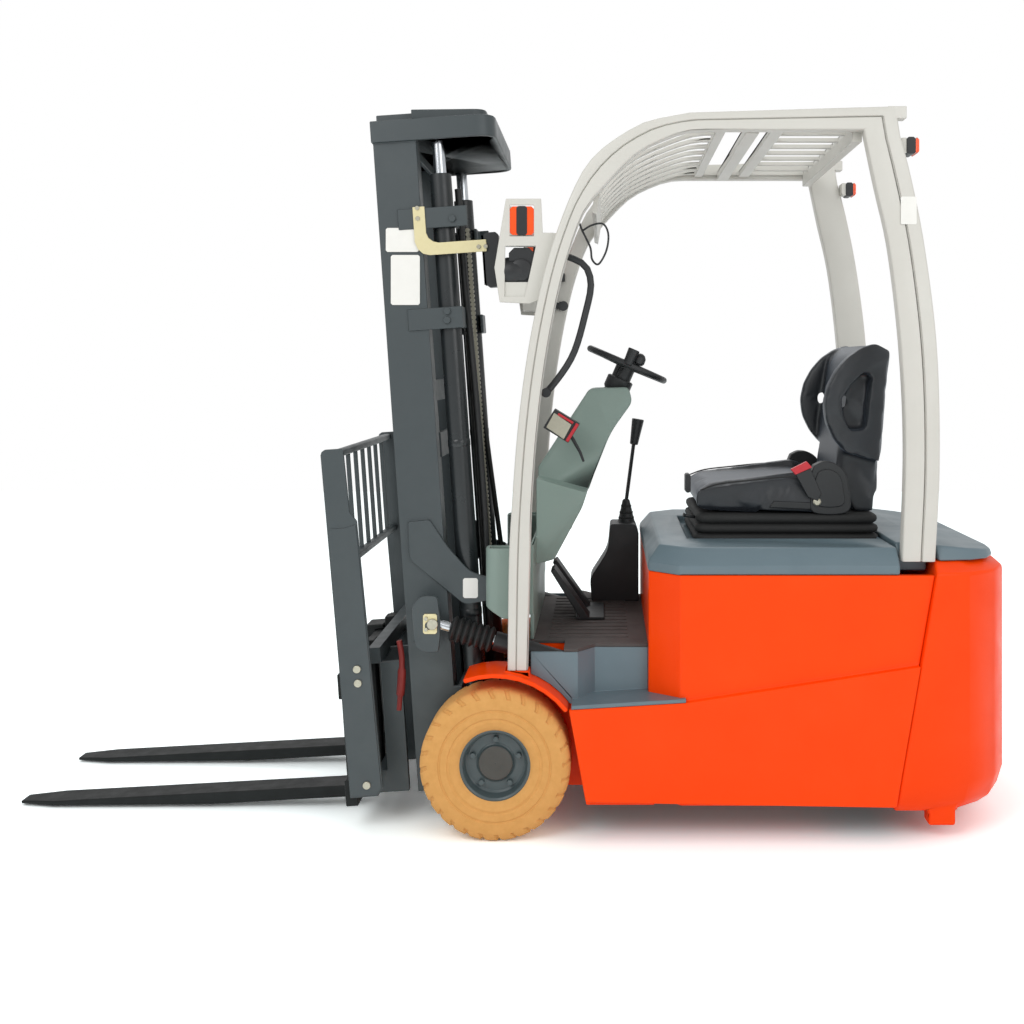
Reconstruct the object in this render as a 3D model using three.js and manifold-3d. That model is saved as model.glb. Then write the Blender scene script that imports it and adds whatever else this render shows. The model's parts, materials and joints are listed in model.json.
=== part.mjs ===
// A three-wheel electric counterbalance forklift with a triplex mast, standing as it parks:
// mast leant fully forward, forks just clear of the floor.
// Millimetres, +Z up. The truck faces -X and its left side is -Y. Lengths along X are counted
// from the front axle until the last lines centre the truck on its own footprint.
import * as THREE from "three";
import { mergeVertices } from "three/addons/utils/BufferGeometryUtils.js";
import Module from "manifold-3d";

const wasm = await Module();
wasm.setup();

// ---------------------------------------------------------------- driving dimensions
const seatGap = 0.3; // between pieces that rest on each other
const runningGap = 0.5; // between a shaft and its bore
const clearance = 6; // between pieces that pass each other

const truckWidth = 1060;
const wheelbase = 1290;
const tailX = 1600;
const bellyZ = 105;

const frontTyreRadius = 228.5;
const frontTyreWidth = 160;
const frontRimRadius = 105;
const rearTyreRadius = 190.5;
const rearTyreWidth = 112;
const rearRimRadius = 100;
const twinGap = 70; // between the two rear tyres

const mastLean = 4; // degrees forward of upright, the forward stop
const mastHalfWidth = 345;
const mastBackX = -132; // rear face of the outer rails
const railDepth = 136;
const railFlange = 16;
const railWeb = 12;
const mastBottomZ = 105;
const outerRailTopZ = 2204;
const stageStepZ = 15;
const rollerPlay = 0.6;

const forkLength = 1070;
const forkWidth = 100;
const forkThickness = 38;
const forkTipThickness = 10;
const forkCentreY = 205;
const forkTopZ = 109;
const forkRise = 17; // the blade's tip stands this much over a square blade's
const forkFaceX = -512;
const carriageTopZ = 517;
const carriageHalfWidth = mastHalfWidth - 15;
const backrestHalfWidth = 458;
const backrestTopZ = 1210;

const deckZ = 800; // top of the battery hull
const hoodHeight = 78;
const hullFrontX = 466;
const hullHalfWidth = truckWidth / 2 - 18;
const hullWall = 16;
const counterweightTopZ = 838;
const floorZ = 2 * frontTyreRadius + 109; // the floor clears the front tyres
const floorPlate = 10;
const guardHalfWidth = truckWidth / 2 - 35;
const guardThickness = 50;

const batteryLength = 522;
const batteryHalfWidth = 415;
const batteryHeight = 627;

const steeringWheelRadius = 150;
const steeringTilt = 23.6; // degrees between the wheel's plane and the floor

const axleRadius = 58;
const pivotPinRadius = 14;
const tiltBarrelRadius = 30;
const tiltRodRadius = 16;
const liftBarrelRadius = 35;
const liftRodRadius = 20;
const round = 40; // facets of a shaft and its bore
const coarse = 20; // facets of other round pieces
const curveSteps = 4;

const halfWidth = truckWidth / 2;
const axleZ = frontTyreRadius;
const railFrontX = mastBackX - railDepth;

// ---------------------------------------------------------------- materials
const paint = (color, roughness = 0.45, metalness = 0.1) =>
  new THREE.MeshStandardMaterial({ color, roughness, metalness });
const orange = paint(0xfc5012);
const hoodGrey = paint(0x5a6b74);
const cowlGrey = paint(0x7f9189, 0.6, 0);
const guardGrey = paint(0xc6c5be);
const slate = paint(0x50585a);
const forkBlack = paint(0x2a2d2e, 0.5, 0.4);
const blackPlastic = paint(0x17191a, 0.6, 0);
const matBrown = paint(0x4b4644, 0.9, 0);
const seatVinyl = paint(0x1b222c, 0.5, 0);
const tanTyre = paint(0xdda656, 0.85, 0);
const blackTyre = paint(0x1d1d1d, 0.85, 0);
const rimGrey = paint(0x4b5759, 0.5, 0.3);
const chrome = paint(0xc8ccd0, 0.2, 1);

// ---------------------------------------------------------------- shape helpers
function solidOf(geometry) {
  const bare = geometry.index ? geometry.toNonIndexed() : geometry.clone();
  bare.deleteAttribute("normal");
  bare.deleteAttribute("uv");
  const merged = mergeVertices(bare, 1e-3);
  return new wasm.Manifold(
    new wasm.Mesh({
      numProp: 3,
      vertProperties: merged.attributes.position.array,
      triVerts: new Uint32Array(merged.index.array),
    }),
  );
}

function geometryOf(solid) {
  const mesh = solid.getMesh();
  const geometry = new THREE.BufferGeometry();
  geometry.setAttribute("position", new THREE.BufferAttribute(mesh.vertProperties, 3));
  geometry.setIndex(new THREE.BufferAttribute(mesh.triVerts, 1));
  geometry.computeVertexNormals();
  return geometry;
}

const joined = (...solids) => solids.reduce((sum, one) => sum.add(one));
const cut = (solid, ...tools) => tools.reduce((rest, tool) => rest.subtract(tool), solid);
const inOrder = (a, b) => (a < b ? [a, b] : [b, a]);

// A closed outline of [a, b, cornerRadius] corners.
function outline(corners) {
  const shape = new THREE.Shape();
  corners.forEach(([a, b, radius = 0], i) => {
    const here = new THREE.Vector2(a, b);
    const toward = (corner) => new THREE.Vector2(corner[0], corner[1]).sub(here).normalize();
    const before = toward(corners[(i + corners.length - 1) % corners.length]);
    const after = toward(corners[(i + 1) % corners.length]);
    const start = here.clone().addScaledVector(before, radius);
    const end = here.clone().addScaledVector(after, radius);
    if (i === 0) shape.moveTo(start.x, start.y);
    else shape.lineTo(start.x, start.y);
    if (radius) shape.quadraticCurveTo(a, b, end.x, end.y);
  });
  shape.closePath();
  return shape;
}

const shapeOf = (profile) => (Array.isArray(profile) ? outline(profile) : profile);

function extruded(profile, depth) {
  const options = { depth, bevelEnabled: false, curveSegments: curveSteps };
  return new THREE.ExtrudeGeometry(shapeOf(profile), options);
}

// An outline in X and Z, extruded along Y.
function sidePlate(profile, ya, yb) {
  const [y0, y1] = inOrder(ya, yb);
  const geometry = extruded(profile, y1 - y0);
  return solidOf(geometry.rotateX(Math.PI / 2).translate(0, y1, 0));
}

// An outline in X and Y, extruded along Z; its top may be drawn in about a centre.
function planPlate(profile, z0, z1, { topScale = [1, 1], bottomScale = [1, 1], centreX = 0 } = {}) {
  const geometry = extruded(profile, z1 - z0).translate(0, 0, z0);
  const at = geometry.attributes.position;
  for (let i = 0; i < at.count; i++) {
    const [scaleX, scaleY] = at.getZ(i) > (z0 + z1) / 2 ? topScale : bottomScale;
    at.setX(i, centreX + (at.getX(i) - centreX) * scaleX);
    at.setY(i, at.getY(i) * scaleY);
  }
  return solidOf(geometry);
}

function block(x0, x1, ya, yb, z0, z1) {
  const [y0, y1] = inOrder(ya, yb);
  const box = new THREE.BoxGeometry(x1 - x0, y1 - y0, z1 - z0);
  return solidOf(box.translate((x0 + x1) / 2, (y0 + y1) / 2, (z0 + z1) / 2));
}

// Turns +Y onto the line from one point to another and moves the origin to its start.
function aimed(geometry, from, to) {
  const start = new THREE.Vector3(...from);
  const way = new THREE.Vector3(...to).sub(start).normalize();
  const turn = new THREE.Quaternion().setFromUnitVectors(new THREE.Vector3(0, 1, 0), way);
  return geometry.applyQuaternion(turn).translate(start.x, start.y, start.z);
}

const lengthOf = (from, to) => new THREE.Vector3(...to).distanceTo(new THREE.Vector3(...from));

function bar(from, to, radius, sides = coarse, endRadius = radius) {
  const length = lengthOf(from, to);
  const cylinder = new THREE.CylinderGeometry(endRadius, radius, length, sides);
  return solidOf(aimed(cylinder.translate(0, length / 2, 0), from, to));
}

function spun(profile, x, y, z, sides) {
  const points = [...profile, profile[0]].map(([r, h]) => new THREE.Vector2(r, h));
  return solidOf(new THREE.LatheGeometry(points, sides).translate(x, y, z));
}

// A round tube along a smooth curve through the given points.
function tube(points, radius, steps, sides = 8) {
  const path = new THREE.CatmullRomCurve3(points.map((p) => new THREE.Vector3(...p)));
  const section = new THREE.Shape().absarc(0, 0, radius, 0, 2 * Math.PI);
  const options = { steps, extrudePath: path, curveSegments: sides / 2 };
  return solidOf(new THREE.ExtrudeGeometry(section, options));
}

const sides = [
  ["left", -1],
  ["right", 1],
];

const truck = new THREE.Group();
// Everything on the mast is drawn upright in this group, which leans about the front axle.
const lean = new THREE.Group();
lean.position.set(0, 0, axleZ);
lean.rotation.y = -THREE.MathUtils.degToRad(mastLean);
const mast = new THREE.Group();
mast.position.set(0, 0, -axleZ);
lean.add(mast);
truck.add(lean);

function add(group, name, solid, material) {
  const mesh = new THREE.Mesh(geometryOf(solid), material);
  mesh.name = name;
  group.add(mesh);
}

const leanRadians = THREE.MathUtils.degToRad(mastLean);
// Where a point of the upright mast stands once the mast leans.
function leant([x, z]) {
  const height = z - axleZ;
  return [
    x * Math.cos(leanRadians) - height * Math.sin(leanRadians),
    axleZ + x * Math.sin(leanRadians) + height * Math.cos(leanRadians),
  ];
}

// ---------------------------------------------------------------- frame and axle
const frameHalfWidth = 340;
const framePlate = 20;
const frameFrontX = 112;
const axleCarrierY = [180, 230];
const axleHousingRadius = 85;
const wheelStubRadius = 35;
const tiltPivot = [230, floorZ - 61]; // rear pin of the tilt cylinders
const tiltCylinderY = halfWidth - 138;
const tiltEyeHalfWidth = 20;
const frameTopZ = floorZ - floorPlate - seatGap;

function mainFrame() {
  const carrierWall = 17;
  const wall = block(
    frameFrontX, frameFrontX + framePlate, -frameHalfWidth, frameHalfWidth, bellyZ, frameTopZ,
  );
  const belly = block(
    frameFrontX, hullFrontX - seatGap, -frameHalfWidth, frameHalfWidth, bellyZ, bellyZ + 12,
  );
  const pieces = [belly];
  for (const [, side] of sides) {
    const inner = side * (frameHalfWidth - framePlate);
    const outer = side * frameHalfWidth;
    pieces.push(block(frameFrontX, hullFrontX - seatGap, inner, outer, bellyZ, frameTopZ));
    const carrierRadius = axleRadius + carrierWall;
    const [nearY, farY] = axleCarrierY.map((y) => side * y);
    const carrier = joined(
      bar([0, nearY, axleZ], [0, farY, axleZ], carrierRadius, round),
      block(0, frameFrontX + 1, nearY, farY, axleZ - carrierRadius + 1, axleZ + carrierRadius - 1),
    );
    const bore = bar([0, -halfWidth, axleZ], [0, halfWidth, axleZ], axleRadius + runningGap, round);
    pieces.push(cut(carrier, bore));
    const pinEnd = side * (tiltCylinderY + tiltEyeHalfWidth + 22);
    pieces.push(
      bar([tiltPivot[0], outer - side, tiltPivot[1]], [tiltPivot[0], pinEnd, tiltPivot[1]], pivotPinRadius),
    );
  }
  return joined(wall, ...pieces);
}

function driveAxle() {
  const housingInnerY = mastHalfWidth + 6;
  const tyreInnerY = halfWidth - frontTyreWidth;
  const stubEndY = halfWidth - frontTyreWidth * 0.45;
  const pieces = [bar([0, -housingInnerY, axleZ], [0, housingInnerY, axleZ], axleRadius, round)];
  for (const [, side] of sides) {
    const housing = [[0, side * housingInnerY, axleZ], [0, side * (tyreInnerY - clearance), axleZ]];
    pieces.push(bar(...housing, axleHousingRadius, round));
    pieces.push(bar([0, side * housingInnerY, axleZ], [0, side * stubEndY, axleZ], wheelStubRadius, round));
  }
  return joined(...pieces);
}

add(truck, "main_frame", mainFrame(), orange);
add(truck, "drive_axle", driveAxle(), slate);

// ---------------------------------------------------------------- body
const shoulderFrontZ = axleZ + 192.5;
const shoulderFrontX = 575;
const fenderInnerRadius = frontTyreRadius + 37.5;
const fenderSheet = 14;
const fenderEndDegrees = 37.5;
const fenderStartDegrees = 110;
const fenderRadius = fenderInnerRadius + fenderSheet;
const fenderEnd = THREE.MathUtils.degToRad(fenderEndDegrees);
const hullNose = [
  (fenderRadius + 2 * seatGap) * Math.cos(fenderEnd),
  axleZ + (fenderRadius + 2 * seatGap) * Math.sin(fenderEnd),
];
const seamBottomX = 1208;
const seamTopX = 1328;
const seamX = (z) => seamBottomX + ((seamTopX - seamBottomX) * (z - bellyZ)) / (deckZ - bellyZ);
const shoulderRearZ = 530;
const lowerWall = 25;
const cornerChamfer = [94, 87]; // along X and Y, at the hull's front corners
const wellRadius = 262;
const wellTopZ = 545;
const bulkheadX = wheelbase - wellRadius + 12;
const steerDeck = { top: 530, sheet: 30, halfWidth: 180, endX: wheelbase + 150 };

function hullPlan(grow = 0) {
  const flatHalf = hullHalfWidth - cornerChamfer[1] + grow / 2;
  const front = hullFrontX - grow;
  const side = hullHalfWidth + grow;
  const rear = tailX;
  return [
    [front, -flatHalf], [front + cornerChamfer[0], -side], [rear, -side],
    [rear, side], [front + cornerChamfer[0], side], [front, flatHalf],
  ];
}

function bodyShell() {
  const inFrontOfSeam = sidePlate(
    [[0, bellyZ - 1], [seamX(bellyZ - 1), bellyZ - 1], [seamX(deckZ + 1), deckZ + 1], [0, deckZ + 1]],
    -halfWidth - 1, halfWidth + 1,
  );
  const upper = planPlate(hullPlan(), bellyZ, deckZ).intersect(inFrontOfSeam);
  const hollow = block(
    hullFrontX + hullWall, tailX,
    -hullHalfWidth + lowerWall, hullHalfWidth - lowerWall,
    bellyZ + hullWall, deckZ + 1,
  );
  const chamferWall = planPlate(
    hullPlan().map(([x, y]) => [x, y]), bellyZ, deckZ,
  ).subtract(planPlate(hullPlan(-hullWall), bellyZ - 1, deckZ + 1)).intersect(inFrontOfSeam);
  const lowerSide = [
    [hullNose[0] + 51, bellyZ + 16], [seamX(bellyZ), bellyZ], [seamX(shoulderRearZ), shoulderRearZ],
    [shoulderFrontX, shoulderFrontZ], hullNose,
  ];
  const belowWell = block(
    bulkheadX, tailX, -hullHalfWidth + lowerWall, hullHalfWidth - lowerWall, 0, bellyZ + hullWall + 1,
  );
  const shell = cut(upper, hollow, belowWell);
  const pieces = [shell, chamferWall.subtract(belowWell)];
  for (const [, side] of sides) {
    pieces.push(sidePlate(lowerSide, side * (halfWidth - lowerWall), side * halfWidth));
    const noseX = hullNose[0] + 51;
    const toHull = block(
      noseX, noseX + hullWall, side * (frameHalfWidth + seatGap), side * (halfWidth - lowerWall + 1),
      bellyZ, hullNose[1] - 12,
    );
    const pan = block(
      noseX, hullFrontX + hullWall, side * (frameHalfWidth + seatGap), side * (halfWidth - lowerWall + 1),
      bellyZ, bellyZ + hullWall,
    );
    pieces.push(toHull, pan);
  }
  const bulkhead = block(
    bulkheadX - hullWall, bulkheadX, -hullHalfWidth + lowerWall - 1, hullHalfWidth - lowerWall + 1,
    bellyZ, deckZ,
  );
  const deck = block(
    bulkheadX - 1, steerDeck.endX, -steerDeck.halfWidth, steerDeck.halfWidth,
    steerDeck.top - steerDeck.sheet, steerDeck.top,
  );
  return joined(...pieces, bulkhead, deck);
}

function battery() {
  const x0 = bulkheadX - hullWall - clearance - batteryLength;
  const z0 = bellyZ + hullWall + seatGap;
  return block(x0, x0 + batteryLength, -batteryHalfWidth, batteryHalfWidth, z0, z0 + batteryHeight);
}

const tailRadius = 300;
const tailTucks = [[86, 1535, 0.95], [118, 1582, 0.985], [180, 1600, 1]]; // height, tail, width share
const towSlotZ = [300, 372];

function counterweight() {
  const plan = [
    [seamBottomX - 20, -halfWidth], [tailX, -halfWidth, tailRadius],
    [tailX, halfWidth, tailRadius], [seamBottomX - 20, halfWidth],
  ];
  const bevelZ = counterweightTopZ - 31;
  const centreX = seamBottomX;
  const scaleAt = ([, x, wide]) => [(x - centreX) / (tailX - centreX), wide];
  const tucks = tailTucks.slice(1).map((upper, i) =>
    planPlate(plan, tailTucks[i][0], upper[0], {
      bottomScale: scaleAt(tailTucks[i]), topScale: scaleAt(upper), centreX,
    }),
  );
  const middle = planPlate(plan, tailTucks[2][0], bevelZ);
  const top = planPlate(plan, bevelZ, counterweightTopZ, { topScale: [0.9, 0.906], centreX });
  const seamStep = 0.6;
  const ahead = sidePlate(
    [
      [0, 0], [seamX(0) + seamStep, 0],
      [seamX(counterweightTopZ + 20) + seamStep, counterweightTopZ + 20], [0, counterweightTopZ + 20],
    ],
    -halfWidth - 1, halfWidth + 1,
  );
  const well = bar([wheelbase, 0, 0], [wheelbase, 0, wellTopZ], wellRadius, round);
  const towSlot = block(tailX - 70, tailX + 1, -60, 60, ...towSlotZ);
  const towPin = bar([tailX - 35, 0, towSlotZ[0] - 5], [tailX - 35, 0, towSlotZ[1] + 5], 12);
  const feet = sides.map(([, side]) => block(1312, 1394, side * 440, side * 500, 40, bellyZ + 30));
  return joined(cut(joined(...tucks, middle, top), ahead, well, towSlot), towPin, ...feet);
}

function rearCover() {
  const cover = {
    frontX: seamTopX - 96, shoulderX: seamTopX + 8, height: 47, halfWidth: 478, neckHalfWidth: 430,
    radius: 190,
  };
  const plan = [
    [cover.frontX, -cover.neckHalfWidth], [cover.shoulderX + 12, -cover.neckHalfWidth],
    [cover.shoulderX + 12, -cover.halfWidth], [tailX - 42, -cover.halfWidth, cover.radius],
    [tailX - 42, cover.halfWidth, cover.radius], [cover.shoulderX + 12, cover.halfWidth],
    [cover.shoulderX + 12, cover.neckHalfWidth], [cover.frontX, cover.neckHalfWidth],
  ];
  const z0 = counterweightTopZ + seatGap;
  const top = planPlate(plan, z0, z0 + cover.height, { topScale: [0.97, 0.95], centreX: cover.frontX });
  const skirt = block(
    cover.frontX, seamTopX - 4, -cover.neckHalfWidth, cover.neckHalfWidth, deckZ + seatGap, z0 + 10,
  );
  const slope = sidePlate(
    [
      [cover.frontX - 1, deckZ - 1], [tailX, deckZ - 1], [tailX, z0 + 18],
      [cover.shoulderX, z0 + cover.height],
      [cover.frontX - 1, z0 + cover.height + 1],
    ],
    -halfWidth, halfWidth,
  );
  return joined(top, skirt).intersect(slope);
}

function fender(side) {
  const arc = new THREE.Shape();
  const start = THREE.MathUtils.degToRad(fenderStartDegrees);
  arc.absarc(0, axleZ, fenderRadius, fenderEnd, start, false);
  arc.absarc(0, axleZ, fenderInnerRadius, start, fenderEnd, true);
  const inner = side * (halfWidth - frontTyreWidth + 2);
  const footPad = block(
    guardFoot.front - 6, guardFoot.rear + 6,
    side * (guardHalfWidth - guardThickness - 5), side * (guardHalfWidth + 5),
    axleZ + fenderInnerRadius - 20, guardFoot.z - seatGap,
  );
  const tyreRoom = bar(
    [0, -halfWidth - 1, axleZ], [0, halfWidth + 1, axleZ], fenderInnerRadius + 1, round,
  );
  return joined(sidePlate(arc, inner, side * halfWidth), cut(footPad, tyreRoom));
}

const guardFoot = { front: 36, rear: 97, z: floorZ - 58 };
const risers = { bendX: 248, rearBendX: 300, wideY: halfWidth - 75, narrowY: halfWidth - 138, sheet: 10 };
const treadSheet = 12;
const cowl = {
  backX: 95, frontX: -38, innerY: halfWidth - 164, outerY: halfWidth - 86,
  topZ: 870, podZ: floorZ + 89, nipX: 18, nipZ: floorZ + 124,
};

function floorPlateSolid() {
  const slotY = frameHalfWidth + 4;
  const slotEndX = 205;
  const front = cowl.backX - 2;
  const half = [
    [front, slotY], [slotEndX, slotY], [slotEndX, risers.wideY],
    [risers.bendX, risers.wideY], [risers.rearBendX, risers.narrowY], [hullFrontX - seatGap, risers.narrowY],
  ];
  const mirror = half.map(([x, y]) => [x, -y]).reverse();
  return planPlate([...half, ...mirror], floorZ - floorPlate, floorZ);
}

function step(side) {
  const path = [
    [guardFoot.rear + 7, risers.wideY], [risers.bendX, risers.wideY],
    [risers.rearBendX, risers.narrowY], [hullFrontX - seatGap, risers.narrowY],
  ];
  const back = path.map(([x, y]) => [x, y - risers.sheet]).reverse();
  const bottom = hullNose[1] - 2;
  const riser = planPlate([...path, ...back].map(([x, y]) => [x, side * y]), bottom, frameTopZ);
  const treadUnder = [[hullNose[0] + 8, hullNose[1] + 1], [shoulderFrontX, shoulderFrontZ + seatGap]];
  const tread = sidePlate(
    [
      ...treadUnder, [treadUnder[1][0], treadUnder[1][1] + treadSheet],
      [treadUnder[0][0], treadUnder[0][1] + treadSheet],
    ],
    side * (risers.narrowY - risers.sheet), side * (halfWidth - 1),
  );
  const pastHull = planPlate(hullPlan(seatGap), bellyZ, deckZ);
  const fenderRoom = bar(
    [0, -halfWidth - 1, axleZ], [0, halfWidth + 1, axleZ], fenderRadius + seatGap + 0.6, round,
  );
  return cut(joined(riser, tread), pastHull, fenderRoom);
}

add(truck, "body_shell", bodyShell(), orange);
add(truck, "battery", battery(), blackPlastic);
add(truck, "counterweight", counterweight(), orange);
add(truck, "rear_cover", rearCover(), hoodGrey);
add(truck, "floor_plate", floorPlateSolid(), matBrown);
for (const [word, side] of sides) {
  add(truck, `fender_${word}`, fender(side), orange);
  add(truck, `step_${word}`, step(side), hoodGrey);
}

// ---------------------------------------------------------------- hood and seat
const hoodRearX = seamTopX - 104;
const seatHalfWidth = 250;
const seatFloorZ = deckZ + 53;

function hoodPlan() {
  const rim = 3;
  return [
    [hullFrontX - 2, -hullHalfWidth + cornerChamfer[1]],
    [hullFrontX + cornerChamfer[0] - 2, -hullHalfWidth + rim],
    [hoodRearX, -hullHalfWidth + rim], [hoodRearX, hullHalfWidth - rim],
    [hullFrontX + cornerChamfer[0] - 2, hullHalfWidth - rim],
    [hullFrontX - 2, hullHalfWidth - cornerChamfer[1]],
  ];
}

function hood() {
  const bandZ = deckZ + 29;
  const centreX = hoodRearX;
  const band = planPlate(hoodPlan(), deckZ + seatGap, bandZ);
  const crown = planPlate(hoodPlan(), bandZ, deckZ + hoodHeight, { topScale: [0.95, 0.915], centreX });
  const seatWell = block(
    600, hoodRearX - 12, -seatHalfWidth - 30, seatHalfWidth + 30, seatFloorZ, deckZ + 200,
  );
  const hollow = block(hullFrontX + 60, hoodRearX - 15, -440, 440, deckZ, deckZ + 38);
  return cut(joined(band, crown), seatWell, hollow);
}

const seat = { frontX: 616, rearX: 1217, baseTopZ: 938 };

function seatBase() {
  const bellows = planPlate(
    [
      [622, -235, 50], [seat.rearX - 6, -235, 50], [seat.rearX - 6, 235, 50], [622, 235, 50],
    ],
    seatFloorZ + seatGap, seat.baseTopZ,
  );
  const pan = block(640, seat.rearX - 6, -262, 262, seat.baseTopZ - 1, seat.baseTopZ + 12);
  const recliners = sides.map(([, side]) =>
    sidePlate(
      [
        [1010, seat.baseTopZ], [1215, seat.baseTopZ], [1212, 1100, 30], [1150, 1140, 30],
        [1090, 1110, 20], [1060, 1010, 20], [1010, 1000],
      ],
      side * (seatHalfWidth + 1), side * (seatHalfWidth + 12),
    ),
  );
  return joined(bellows, pan, ...recliners);
}

function seatCushion() {
  const z0 = seat.baseTopZ + 12 + seatGap;
  const body = sidePlate(
    [[seat.frontX, z0 + 20, 20], [seat.frontX, 1034, 30], [1060, 1062, 20], [1075, z0]],
    -seatHalfWidth, seatHalfWidth,
  );
  const bolsters = sides.map(([, side]) =>
    sidePlate(
      [[650, z0 + 50], [670, 1042], [1055, 1090, 20], [1070, z0 + 30]], side * 185, side * seatHalfWidth,
    ),
  );
  return joined(body, ...bolsters);
}

function seatBack() {
  const backFootZ = seat.baseTopZ + 12 + seatGap;
  const panel = sidePlate(
    [
      [1104, 1100, 20], [1152, 1480, 30], [1202, 1522, 20], [1264, 1498, 20], [1218, backFootZ],
      [1150, backFootZ], [1100, 1040],
    ],
    -200, 200,
  );
  const wing = new THREE.Shape();
  wing.moveTo(1119, 1150);
  wing.bezierCurveTo(1052, 1220, 1027, 1300, 1057, 1380);
  wing.bezierCurveTo(1087, 1460, 1142, 1510, 1212, 1522);
  wing.lineTo(1263, 1495);
  wing.lineTo(1230, 1120);
  wing.closePath();
  const loop = new THREE.Shape();
  loop.moveTo(1132, 1235);
  loop.bezierCurveTo(1092, 1290, 1112, 1380, 1177, 1420);
  loop.lineTo(1202, 1410);
  loop.lineTo(1182, 1235);
  loop.closePath();
  const wings = sides.map(([, side]) =>
    cut(sidePlate(wing, side * 199, side * 248), sidePlate(loop, side * 201, side * 260)),
  );
  return joined(panel, ...wings);
}

add(truck, "hood", hood(), hoodGrey);
add(truck, "seat_base", seatBase(), blackPlastic);
add(truck, "seat_cushion", seatCushion(), seatVinyl);
add(truck, "seat_back", seatBack(), seatVinyl);

// ---------------------------------------------------------------- driver's controls
const cowlWall = 12;

function frontCowl() {
  const rear = cowl.backX + cowlWall;
  const centre = block(cowl.backX, rear, -frameHalfWidth, frameHalfWidth, floorZ + seatGap, cowl.topZ);
  const half = [
    [72, cowl.outerY], [cowl.frontX, cowl.outerY, 40], [cowl.frontX, cowl.innerY, 20],
    [cowl.backX, cowl.innerY],
  ];
  const lining = [
    [rear, cowl.innerY + cowlWall], [cowl.frontX + cowlWall, cowl.innerY + cowlWall, 10],
    [cowl.frontX + cowlWall, cowl.outerY - cowlWall, 28], [72, cowl.outerY - cowlWall],
  ];
  const across = (points) => points.map(([x, y, radius]) => [x, -y, radius]).reverse();
  const band = planPlate([...half, ...across(half), ...across(lining), ...lining], cowl.podZ, cowl.topZ);
  const bellowsRoom = sidePlate(
    [[cowl.frontX - 1, cowl.podZ - 1], [cowl.nipX, cowl.podZ - 1], [cowl.frontX - 1, cowl.nipZ]],
    -halfWidth, halfWidth,
  );
  return joined(centre, cut(band, bellowsRoom));
}

const wheelTurn = THREE.MathUtils.degToRad(steeringTilt);
const columnWay = new THREE.Vector3(Math.sin(wheelTurn), 0, Math.cos(wheelTurn));
const wheelCentre = new THREE.Vector3(408, 0, 1437);
const alongColumn = (distance) => wheelCentre.clone().addScaledVector(columnWay, distance).toArray();
const bossTop = -62;

function columnCowl() {
  const front = cowl.backX + cowlWall - 1;
  const console = sidePlate(
    [[front, 780], [165, 796, 10], [257, 967, 15], [273, 1016], [front, 1062]],
    -200, 200,
  );
  const column = sidePlate(
    [
      [front, 860], [217, 880], [273, 1010], [351, 1207, 40], [425, 1310, 20], [412, 1360, 15],
      [279, 1355, 20], [front, 1090],
    ],
    -90, 90,
  );
  const boss = bar(alongColumn(-150), alongColumn(bossTop), 40);
  return joined(console, column, boss);
}

function steeringWheel() {
  const rimTube = 12;
  const ring = new THREE.TorusGeometry(steeringWheelRadius - rimTube, rimTube, 8, 32).rotateX(Math.PI / 2);
  const rim = solidOf(aimed(ring, wheelCentre.toArray(), alongColumn(1)));
  const hub = bar(alongColumn(bossTop + runningGap), alongColumn(4), 34);
  const spokes = [0, 1, 2].map((n) => {
    const angle = Math.PI / 2 + (n * 2 * Math.PI) / 3;
    const out = new THREE.Vector3(Math.cos(angle), 0, Math.sin(angle)).multiplyScalar(steeringWheelRadius - rimTube);
    const turn = new THREE.Quaternion().setFromUnitVectors(new THREE.Vector3(0, 1, 0), columnWay);
    const end = out.applyQuaternion(turn).add(wheelCentre).toArray();
    return bar(alongColumn(-8), end, 9, 8);
  });
  const knobFoot = wheelCentre.clone().add(new THREE.Vector3(0, rimTube - steeringWheelRadius, 0));
  const knobTop = knobFoot.clone().addScaledVector(columnWay, 55);
  const knob = bar(knobFoot.toArray(), knobTop.toArray(), 17, 16, 20);
  return joined(rim, hub, ...spokes, knob);
}

const leverConsole = { nearY: 250, farY: 385, rearX: hullFrontX - 10 };

function leverConsoleSolid() {
  const box = sidePlate(
    [
      [352, 850, 12], [leverConsole.rearX - 12, 850, 12], [leverConsole.rearX, 815],
      [leverConsole.rearX, floorZ + seatGap],
      [283, floorZ + seatGap], [277, 650, 20], [343, 752, 30],
    ],
    leverConsole.nearY, leverConsole.farY,
  );
  const y = (leverConsole.nearY + leverConsole.farY) / 2;
  const boot = bar([412, y, 840], [411, y, 932], 34, coarse, 13);
  const rod = bar([411, y, 920], [442, y, 1158], 7, 12);
  const knob = bar([440, y, 1138], [456, y, 1233], 15, 16, 23);
  return joined(box, boot, rod, knob);
}

function pedals() {
  const z = floorZ + seatGap;
  const base = block(232, 330, -60, 190, z, z + 10);
  const pads = [[-60, 30], [110, 190]].map(([y0, y1]) =>
    sidePlate([[250, z], [285, z], [160, z + 176], [146, z + 166]], y0, y1),
  );
  return joined(base, ...pads);
}

add(truck, "front_cowl", joined(frontCowl(), columnCowl()), cowlGrey);
add(truck, "steering_wheel", steeringWheel(), blackPlastic);
add(truck, "lever_console", leverConsoleSolid(), blackPlastic);
add(truck, "pedals", pedals(), blackPlastic);

// ---------------------------------------------------------------- overhead guard and lamps
const guard = { topZ: 2205, railDepth: 56, roofStartX: 588, rearX: 1247, legDepth: 100 };

const points2 = (pairs) => pairs.map(([x, z]) => new THREE.Vector2(x, z));

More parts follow.
